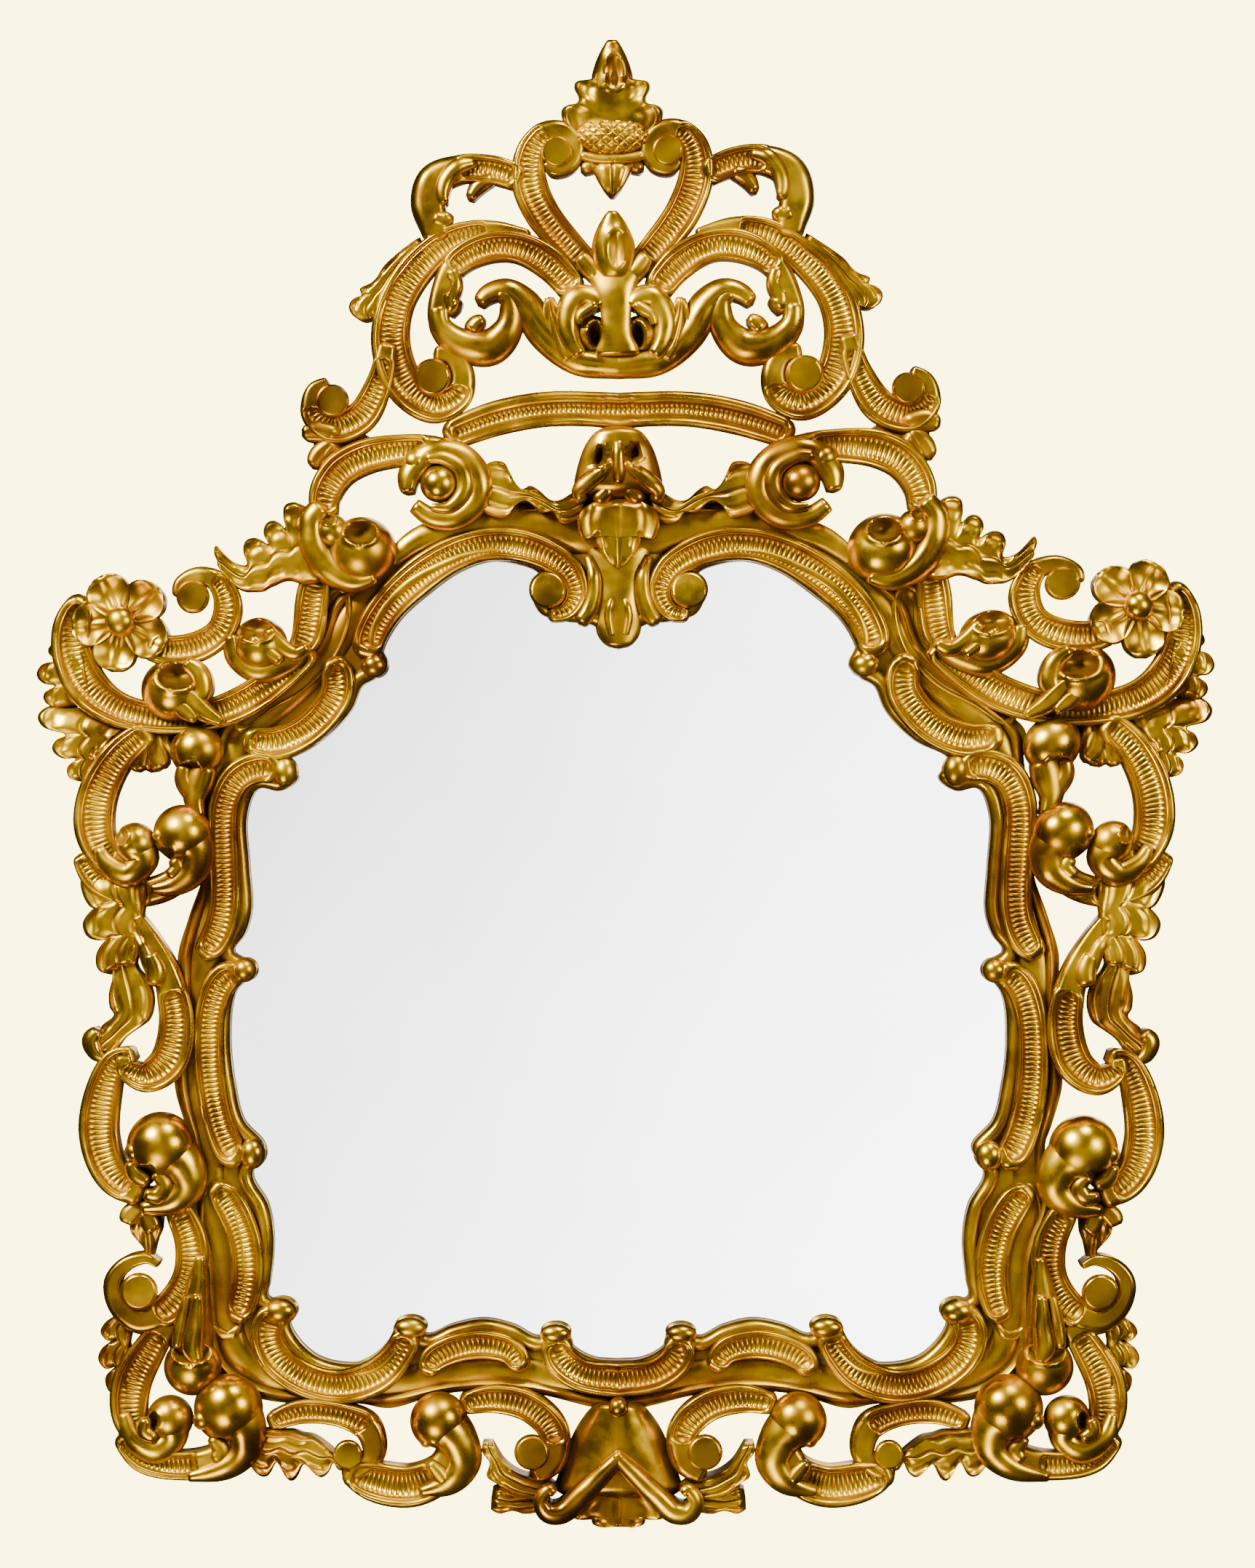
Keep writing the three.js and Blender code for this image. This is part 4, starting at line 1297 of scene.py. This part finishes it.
@dataclass(frozen=True)
class Corners(CarvedPart):
    """The bottom corners, with their drop husk, rolled leaf and strap."""

    name: str = "bottom_corners"

    def forms(self) -> list[Form]:
        """The forms of the corners.

        Returns:
            The forms, with the left one of each pair.
        """
        return [
            limb(((372, -690, 4), (376, -725, 12), (380, -760, 19), (381, -790, 22)), LIMB_HIGH - 2),
            ball(380, -792, 26, LIMB_HIGH + 8, Hollow(380, -778, 17, 9, 14, 2.0)),
            limb(((374, -724, 4), (376, -750, 8), (379, -774, 10), (374, -790, 4)), LIMB_HIGH + 6),
            limb(((384, -726, 3), (390, -752, 6), (394, -776, 4)), LIMB_HIGH + 2),
            Blade(((444, -744, 432, -748), (458, -752, 433, -756), (463, -762, 434, -763),
                   (455, -770, 435, -769), (448, -768, 436, -773), (460, -774, 436, -778),
                   (465, -785, 437, -783), (458, -795, 438, -789), (448, -792, 438, -794),
                   (458, -800, 438, -800), (457, -812, 438, -806), (446, -822, 438, -814)),
                  LEAF_HIGH + 2, dip=(2, 2)),
            scroll(((398, -748, 10), (418, -776, 15), (434, -806, 18), (436, -836, 16), (424, -858, 12)),
                   SCROLL_HIGH - 2, panel=(0.15, 0.9)),
            *curl((400, -838, 21), ((398, -856, 13), (414, -866, 13), (434, -854, 11), (442, -830, 4)),
                  LIMB_HIGH + 6, Hollow(413, -839, 5, 9, 14)),
            limb(((420, -834, 4), (422, -848, 7), (410, -856, 4)), LIMB_HIGH + 4),
            scroll(((446, -852, 8), (424, -874, 12), (388, -880, 13), (356, -874, 15), (336, -852, 14)),
                   panel=(0.05, 0.62)),
            *curl((348, -829, 31), ((332, -848, 19), (334, -868, 14), (352, -882, 11), (386, -890, 4)),
                  BALL_HIGH + 4, Hollow(355, -859, 9, 6, 16)),
            limb(((364, -852, 4), (354, -866, 9), (362, -876, 4)), LIMB_HIGH + 2),
            ball(370, -838, 9, LIMB_HIGH + 8),
            ball(435, -871, 8, LEAF_HIGH - 4),
        ]


@dataclass(frozen=True)
class Apron(CarvedPart):
    """The scrollwork under the glass, out to the corners."""

    name: str = "apron_scrollwork"

    def forms(self) -> list[Form]:
        """The forms of the apron's two sides.

        Returns:
            The forms, with the left one of each pair.
        """
        return [
            Blade(((328, -846, 334, -868), (320, -847, 330, -878), (314, -847, 322, -889),
                   (308, -847, 312, -890), (300, -848, 305, -876), (295, -848, 300, -884),
                   (290, -848, 293, -896), (286, -849, 285, -890), (281, -851, 281, -877),
                   (276, -852, 274, -884), (270, -854, 266, -891), (263, -859, 258, -886),
                   (257, -865, 254, -877), (252, -870, 250, -884), (244, -878, 242, -884)),
                  LEAF_HIGH + 8, dip=(3, 2)),
            scroll(((314, -843, 8), (282, -832, 11), (248, -835, 11), (224, -846, 13), (218, -868, 11),
                    (232, -884, 8), (248, -884, 6)), LEAF_HIGH + 6, panel=(0.05, 0.6)),
            eye(241, -869, 13, SCROLL_HIGH + 3, -0.12),
            scroll(((246, -884, 9), (218, -894, 18), (184, -898, 19), (156, -884, 17), (142, -852, 14)),
                   panel=(0.08, 0.66)),
            *curl((160, -840, 26), ((144, -856, 19), (138, -876, 16), (150, -894, 12), (180, -904, 4)),
                  BALL_HIGH, Hollow(167, -864, 8, 6, 14)),
            limb(((170, -874, 4), (160, -886, 8), (152, -896, 5)), LIMB_HIGH + 2),
            ball(171, -857, 6, LIMB_HIGH + 2),
            scroll(((142, -826, 9), (110, -820, 13), (78, -828, 14), (57, -850, 14), (60, -878, 11),
                    (78, -890, 7)), panel=(0.05, 0.72)),
            eye(77, -867, 16, SCROLL_HIGH + 5, -0.12),
            Blade(((121, -858, 113, -858), (122, -868, 107, -868), (115, -878, 101, -877),
                   (118, -890, 92, -884), (108, -897, 82, -888), (98, -906, 72, -890), (80, -910, 60, -893),
                   (62, -912, 54, -898)), LEAF_HIGH + 5, dip=(0, 2), relief=6),
            Blade(((114, -901, 116, -920), (104, -898, 106, -924), (95, -905, 94, -921), (86, -899, 84, -924),
                   (72, -900, 70, -922), (60, -904, 60, -918)), LEAF_HIGH + 1, dip=(0, 0), relief=6),
        ]


@dataclass(frozen=True)
class Shell(CarvedPart):
    """The shell at the foot, with the two ropes that part over it."""

    name: str = "foot_shell"

    def forms(self) -> list[Form]:
        """The forms of the shell.

        Returns:
            The forms, with the left one of each pair.
        """
        return [
            limb(((0, -822, 18), (0, -836, 30), (0, -852, 40), (0, -872, 48), (0, -895, 56), (0, -914, 64)),
                 LIMB_HIGH - 2, middle=True, ends=0.25),
            limb(((-6, -866, 6), (14, -886, 9), (34, -906, 10), (50, -921, 10), (63, -921, 9), (69, -910, 7),
                  (62, -900, 6), (55, -905, 3)), LIMB_HIGH + 6),
            bloom(((8, -890), (22, -906), (38, -918), (41, -927), (30, -928), (24, -924), (24, -932),
                   (12, -935), (6, -930), (1, -934.5)), LEAF_HIGH + 6, dip=(2, 0), relief=6),
            Boss(0, -827, 9, 9, LIMB_HIGH + 4, middle=True),
        ]


class Nodes:
    """A small helper that adds and joins shader nodes in one material."""

    def __init__(self, material: bpy.types.Material) -> None:
        """Opens the material's node tree and clears it."""
        material.use_nodes = True
        self.tree = material.node_tree
        self.tree.nodes.clear()

    def add(self, kind: str, inputs: dict[str, object] | None = None, **settings: object) -> bpy.types.Node:
        """Adds a node.

        Args:
            kind: The node's type name.
            inputs: Values or sockets for its inputs, by name.
            **settings: Properties of the node.

        Returns:
            The node.
        """
        node = self.tree.nodes.new(kind)
        for name, value in settings.items():
            setattr(node, name, value)
        for name, value in (inputs or {}).items():
            socket = node.inputs[int(name)] if name.isdigit() else node.inputs[name]
            if isinstance(value, bpy.types.NodeSocket):
                self.tree.links.new(value, socket)
            else:
                socket.default_value = value
        return node

    def noise(self, scale: float, detail: float = 3.0, roughness: float = 0.5) -> bpy.types.NodeSocket:
        """A noise pattern fixed to the piece.

        Args:
            scale: How fine it is.
            detail: How many finer patterns are laid over it.
            roughness: How strong those are.

        Returns:
            Its value.
        """
        place = self.add("ShaderNodeTexCoord").outputs["Object"]
        return self.add("ShaderNodeTexNoise", {"Vector": place, "Scale": scale, "Detail": detail,
                                               "Roughness": roughness}).outputs["Fac"]

    def ramp(self, factor: bpy.types.NodeSocket, low: float, high: float, start: float = 0.0,
             end: float = 1.0) -> bpy.types.NodeSocket:
        """A smooth change from start to end as the factor goes from low to high.

        Args:
            factor: What it follows.
            low: Where it starts.
            high: Where it ends.
            start: Its value up to there.
            end: Its value from there on.

        Returns:
            Its value.
        """
        return self.add("ShaderNodeMapRange", {"Value": factor, "From Min": low, "From Max": high,
                                               "To Min": start, "To Max": end},
                        interpolation_type="SMOOTHSTEP").outputs["Result"]

    def maths(self, operation: str, one: object, two: object, clamp: bool = True) -> bpy.types.NodeSocket:
        """One sum of two values, held between 0 and 1 if it is clamped."""
        node = self.add("ShaderNodeMath", {"0": one, "1": two}, operation=operation, use_clamp=clamp)
        return node.outputs[0]

    def mix(self, factor: object, one: object, two: object) -> bpy.types.NodeSocket:
        """A mix of two colours."""
        node = self.add("ShaderNodeMix", {"0": factor, "6": one, "7": two}, data_type="RGBA")
        return node.outputs[2]

    def finish(self, surface: bpy.types.NodeSocket) -> None:
        """Joins the surface to the material's output."""
        self.add("ShaderNodeOutputMaterial", {"Surface": surface})


@dataclass(frozen=True)
class Gilding:
    """Old water gilding: burnished on the high places, rubbed through to red clay in patches, and darkened to
    red and brown in the hollows by clay showing through and painted shade.
    """

    bright: Colour = (0.72, 0.405, 0.007, 1)
    leaf: Colour = (0.53, 0.262, 0.010, 1)
    # The red clay colour stands both for clay rubbed through in patches and for painted shade in the hollows.
    worn_and_shaded: Colour = (0.30, 0.102, 0.012, 1)
    # The near-black colour is grime and painted shade together, laid in the deepest hollows.
    grime_and_shade: Colour = (0.026, 0.012, 0.006, 1)
    bare_wood: Colour = (0.17, 0.10, 0.055, 1)
    burnished: float = 0.21
    matt: float = 0.39
    hollow_reach: float = 0.022
    leaf_scale: float = 21.0
    patch_scale: float = 9.0
    patch_wear: float = 0.75
    # How far the hollows go to the red clay colour: partly clay showing through, partly painted shade.
    hollow_wear_and_shade: float = 0.65
    grain_scale: float = 160.0
    tooling_scale: float = 75.0
    tooling_deep: float = 0.0012

    def make(self) -> bpy.types.Material:
        """Makes the material.

        Returns:
            The material.
        """
        material = bpy.data.materials.new("water_gilding")
        n = Nodes(material)
        deep = self._deep(n)
        grain = n.noise(self.grain_scale, 3.0, 0.6)
        # Painted shade with grime: the deepest hollows, broken up by the grain, darken towards the near-black
        # colour.
        grime_and_shade = n.maths("MULTIPLY", n.ramp(deep, 0.6, 1.0), n.ramp(grain, 0.2, 0.6, 0.75, 1.0))
        way = n.add("ShaderNodeSeparateXYZ", {"Vector": n.add("ShaderNodeTexCoord").outputs["Normal"]})
        back = n.ramp(way.outputs["Y"], 0.55, 0.8)
        rough = n.maths("ADD", n.ramp(n.noise(34.0, 4.0), 0.3, 0.75, self.burnished, self.matt),
                        n.maths("MULTIPLY", deep, 0.2))
        tooling = n.maths("ADD", n.maths("MULTIPLY", n.noise(self.tooling_scale, 2.0), 0.8),
                          n.maths("MULTIPLY", grain, 0.25))
        bump = n.add("ShaderNodeBump", {"Strength": 0.10, "Distance": self.tooling_deep, "Height": tooling})
        shader = n.add("ShaderNodeBsdfPrincipled", {
            "Base Color": self._colour(n, deep, grime_and_shade, back), "Roughness": rough,
            "Normal": bump.outputs["Normal"],
            "Metallic": n.maths("SUBTRACT", n.ramp(grime_and_shade, 0.2, 1.0, 1.0, 0.3), back)})
        n.finish(shader.outputs["BSDF"])
        return material

    def _deep(self, n: Nodes) -> bpy.types.NodeSocket:
        """How far each place lies in a hollow, from its carving and from what stands round it by ambient
        occlusion: the mask for the painted shade in the hollows.

        Args:
            n: The material's nodes.

        Returns:
            Its value, from 0 to 1.
        """
        carved = n.add("ShaderNodeAttribute", attribute_name="recess", attribute_type="GEOMETRY")
        # Ambient occlusion darkens places shut in by neighbouring forms: painted shade.
        open_to = n.add("ShaderNodeAmbientOcclusion", {"Distance": self.hollow_reach}, samples=6)
        return n.maths("MAXIMUM", carved.outputs["Fac"], n.ramp(open_to.outputs["AO"], 0.35, 0.95, 1.0, 0.0))

    def _colour(self, n: Nodes, deep: bpy.types.NodeSocket, grime_and_shade: bpy.types.NodeSocket,
                back: bpy.types.NodeSocket) -> bpy.types.NodeSocket:
        """The colour, from the leaf down to the clay, the grime and painted shade of the hollows, and the
        bare back.

        Args:
            n: The material's nodes.
            deep: How far each place lies in a hollow, which sets the painted shade there.
            grime_and_shade: How much grime and painted shade darken it.
            back: Whether it faces the wall.

        Returns:
            The colour.
        """
        patches = n.ramp(n.noise(self.patch_scale, 4.0), 0.45, 0.66, 0.0, self.patch_wear)
        # The patches are rubbed through to the clay; the hollows' share is clay showing through and painted
        # shade.
        wear_and_shade = n.maths("ADD", patches, n.maths("MULTIPLY", deep, self.hollow_wear_and_shade))
        colour = n.mix(n.ramp(n.noise(self.leaf_scale, 3.0), 0.35, 0.6), self.leaf, self.bright)
        colour = n.mix(n.ramp(wear_and_shade, 0.12, 1.0, 0.0, 0.9), colour, self.worn_and_shaded)
        # Painted shade with grime in the deepest hollows.
        colour = n.mix(n.maths("MULTIPLY", grime_and_shade, 0.85), colour, self.grime_and_shade)
        return n.mix(back, colour, self.bare_wood)


@dataclass(frozen=True)
class SilveredGlass:
    """Silvered plate glass with a faint haze."""

    silver: Colour = (0.90, 0.91, 0.92, 1)
    haze: Colour = (0.84, 0.85, 0.86, 1)

    def make(self) -> bpy.types.Material:
        """Makes the material.

        Returns:
            The material.
        """
        material = bpy.data.materials.new("silvered_plate")
        n = Nodes(material)
        colour = n.mix(n.ramp(n.noise(5.0, 3.0), 0.35, 0.75), self.silver, self.haze)
        shader = n.add("ShaderNodeBsdfPrincipled", {
            "Base Color": colour, "Metallic": 1.0,
            "Roughness": n.ramp(n.noise(3.0, 2.0), 0.3, 0.7, 0.015, 0.05)})
        n.finish(shader.outputs["BSDF"])
        return material


@dataclass(frozen=True)
class BarePine:
    """Bare sawn pine, browned with age."""

    light: Colour = (0.36, 0.23, 0.12, 1)
    dark: Colour = (0.15, 0.085, 0.04, 1)
    grain_shape: tuple[float, float, float] = (22.0, 22.0, 1.6)

    def make(self) -> bpy.types.Material:
        """Makes the material.

        Returns:
            The material.
        """
        material = bpy.data.materials.new("aged_pine")
        n = Nodes(material)
        place = n.add("ShaderNodeTexCoord").outputs["Object"]
        drawn_out = n.add("ShaderNodeMapping", {"Vector": place, "Scale": self.grain_shape})
        grain = n.add("ShaderNodeTexNoise", {"Vector": drawn_out.outputs["Vector"], "Scale": 3.0,
                                             "Detail": 6.0, "Distortion": 0.8}).outputs["Fac"]
        colour = n.mix(n.ramp(grain, 0.3, 0.7), self.dark, self.light)
        bump = n.add("ShaderNodeBump", {"Strength": 0.3, "Distance": 0.0006, "Height": grain})
        shader = n.add("ShaderNodeBsdfPrincipled", {"Base Color": colour, "Roughness": 0.75,
                                                    "Normal": bump.outputs["Normal"]})
        n.finish(shader.outputs["BSDF"])
        return material


@dataclass(frozen=True)
class SoftBox:
    """A square soft box that points at the mirror's middle. Metres and watts."""

    name: str
    place: tuple[float, float, float]
    size: float
    power: float
    tint: tuple[float, float, float]
    aim: tuple[float, float, float] = (0, 0, -0.3)

    def hang(self, reaches: bpy.types.Collection) -> None:
        """Hangs the box in the scene.

        Args:
            reaches: What it lights, or what is left out of that.
        """
        data = bpy.data.lights.new(self.name, "AREA")
        data.shape = "SQUARE"
        data.size = self.size
        data.energy = self.power
        data.color = self.tint
        lamp = bpy.data.objects.new(self.name, data)
        lamp.location = self.place
        lamp.rotation_euler = (Vector(self.aim) - Vector(self.place)).to_track_quat("-Z", "Y").to_euler()
        lamp.light_linking.receiver_collection = reaches
        bpy.context.collection.objects.link(lamp)


@dataclass(frozen=True)
class Studio:
    """The backdrop, the card that the glass reflects, the lights and the camera. Metres."""

    camera_far: float = 5.0
    camera_across: float = 0.0081
    camera_up: float = -0.2717
    view_tall: float = 1.4014
    face_near: float = 0.030
    card_low: float = 2.4
    card_rise: float = 6.2
    backdrop: Colour = (9.2, 7.9, 3.15, 1)
    surround: Colour = (1.0, 0.95, 0.88, 1)
    surround_strength: float = 0.045
    boxes: tuple[SoftBox, ...] = (
        SoftBox("key_box", (-2.0, -2.1, 1.8), 0.9, 360.0, (0.96, 1.0, 0.30)),
        SoftBox("fill_box", (2.4, -2.4, 0.4), 1.0, 75.0, (0.97, 1.0, 0.30)),
        SoftBox("low_box", (-0.9, -2.2, -2.4), 1.0, 50.0, (1.0, 0.93, 0.35)),
        SoftBox("top_box", (0.7, -1.2, 2.4), 0.8, 80.0, (0.96, 1.0, 0.30)),
        SoftBox("back_box", (0.8, 3.2, 0.9), 2.0, 60.0, (1.0, 0.96, 0.88)),
        SoftBox("front_box", (0.2, -6.4, -1.0), 3.0, 12.0, (1.0, 0.98, 0.40)),
    )

    def build(self) -> None:
        """Sets the studio up."""
        self._camera()
        self._world()
        self._backdrop()
        self._card()
        self._lights()

    def _camera(self) -> None:
        """Sets the camera square on to the front, framed as the photograph is."""
        data = bpy.data.cameras.new("camera")
        data.sensor_width = 36.0
        data.lens = 36.0 * (self.camera_far - self.face_near) / self.view_tall
        camera = bpy.data.objects.new("camera", data)
        camera.location = (self.camera_across, -self.camera_far, self.camera_up)
        camera.rotation_euler = (math.radians(90), 0, 0)
        bpy.context.collection.objects.link(camera)
        bpy.context.scene.camera = camera

    def _world(self) -> None:
        """A dim warm surround."""
        world = bpy.data.worlds.new("surround")
        bpy.context.scene.world = world
        world.use_nodes = True
        sky = world.node_tree.nodes["Background"]
        sky.inputs["Color"].default_value = self.surround
        sky.inputs["Strength"].default_value = self.surround_strength

    def _panel(self, name: str, centre: Vector, wide: float, tall: float) -> bpy.types.Object:
        """An upright stage panel that faces along Y.

        Args:
            name: Its name.
            centre: Where its middle is.
            wide: Its width.
            tall: Its height.

        Returns:
            The panel.
        """
        mesh = bmesh.new()
        made = bmesh.ops.create_grid(mesh, x_segments=1, y_segments=1, size=0.5)["verts"]
        for vert in made:
            vert.co = (centre.x + vert.co.x * wide, centre.y, centre.z + vert.co.y * tall)
        data = bpy.data.meshes.new(name)
        mesh.to_mesh(data)
        mesh.free()
        panel = bpy.data.objects.new(name, data)
        bpy.context.collection.objects.link(panel)
        return panel

    def _backdrop(self) -> None:
        """A plain cream backdrop behind the mirror, seen from the front only."""
        panel = self._panel("backdrop", Vector((0, 1.2, -0.27)), 9.0, 9.0)
        panel.visible_diffuse = panel.visible_glossy = panel.visible_shadow = False
        material = bpy.data.materials.new("backdrop_paper")
        n = Nodes(material)
        glow = n.add("ShaderNodeEmission", {"Color": self.backdrop, "Strength": 1.0}).outputs[0]
        clear = n.add("ShaderNodeBsdfTransparent").outputs[0]
        facing = n.add("ShaderNodeNewGeometry").outputs["Backfacing"]
        n.finish(n.add("ShaderNodeMixShader", {"0": facing, "1": glow, "2": clear}).outputs[0])
        panel.data.materials.append(material)

    def _card(self) -> None:
        """A grey card behind the camera, lighter to the lower right, for the glass to reflect."""
        panel = self._panel("reflected_card", Vector((0, -7.2, -0.72)), 2.1, 2.2)
        panel.visible_camera = False
        lit = bpy.data.collections.new("lit_by_card")
        lit.objects.link(bpy.data.objects["mirror_plate"])
        panel.light_linking.receiver_collection = lit
        material = bpy.data.materials.new("grey_card")
        n = Nodes(material)
        place = n.add("ShaderNodeSeparateXYZ", {"Vector": n.add("ShaderNodeTexCoord").outputs["Object"]})
        slope = n.maths("SUBTRACT", n.ramp(place.outputs["X"], -1.1, 1.1, 0.35, 1.0),
                        n.ramp(place.outputs["Z"], -1.7, 0.5, 0.0, 0.35))
        glow = n.maths("ADD", n.maths("MULTIPLY", slope, self.card_rise, False), self.card_low, False)
        n.finish(n.add("ShaderNodeEmission", {"Strength": glow}).outputs[0])
        panel.data.materials.append(material)

    def _lights(self) -> None:
        """Soft boxes round the carving, none of which the glass reflects."""
        unlit = bpy.data.collections.new("not_lit_by_boxes")
        unlit.objects.link(bpy.data.objects["mirror_plate"])
        unlit.collection_objects[0].light_linking.link_state = "EXCLUDE"
        for box in self.boxes:
            box.hang(unlit)


def dress(node: str, material: bpy.types.Material) -> None:
    """Gives a measured part its finish.

    Args:
        node: The part's name.
        material: What it is finished with.
    """
    data = bpy.data.objects[node].data
    data.materials.clear()
    data.materials.append(material)


def main() -> None:
    """Builds the mirror and its studio, and reports each piece."""
    logging.basicConfig(level=logging.INFO, format="%(message)s")
    gilding = Gilding().make()
    for part in (Ground(), SightMoulding(), TopRail(), Cresting(), CrestMiddle(), Wings(), Sides(),
                 Corners(), Apron(), Shell()):
        piece = part.build(gilding)
        log.info("%s: %d faces, in water gilding", piece.name, len(piece.data.polygons))
    for node, finish in (("mirror_plate", SilveredGlass()), ("backboard", BarePine())):
        dress(node, finish.make())
        log.info("%s: finished as %s", node, type(finish).__name__)
    Studio().build()


if __name__ == "__main__":
    main()
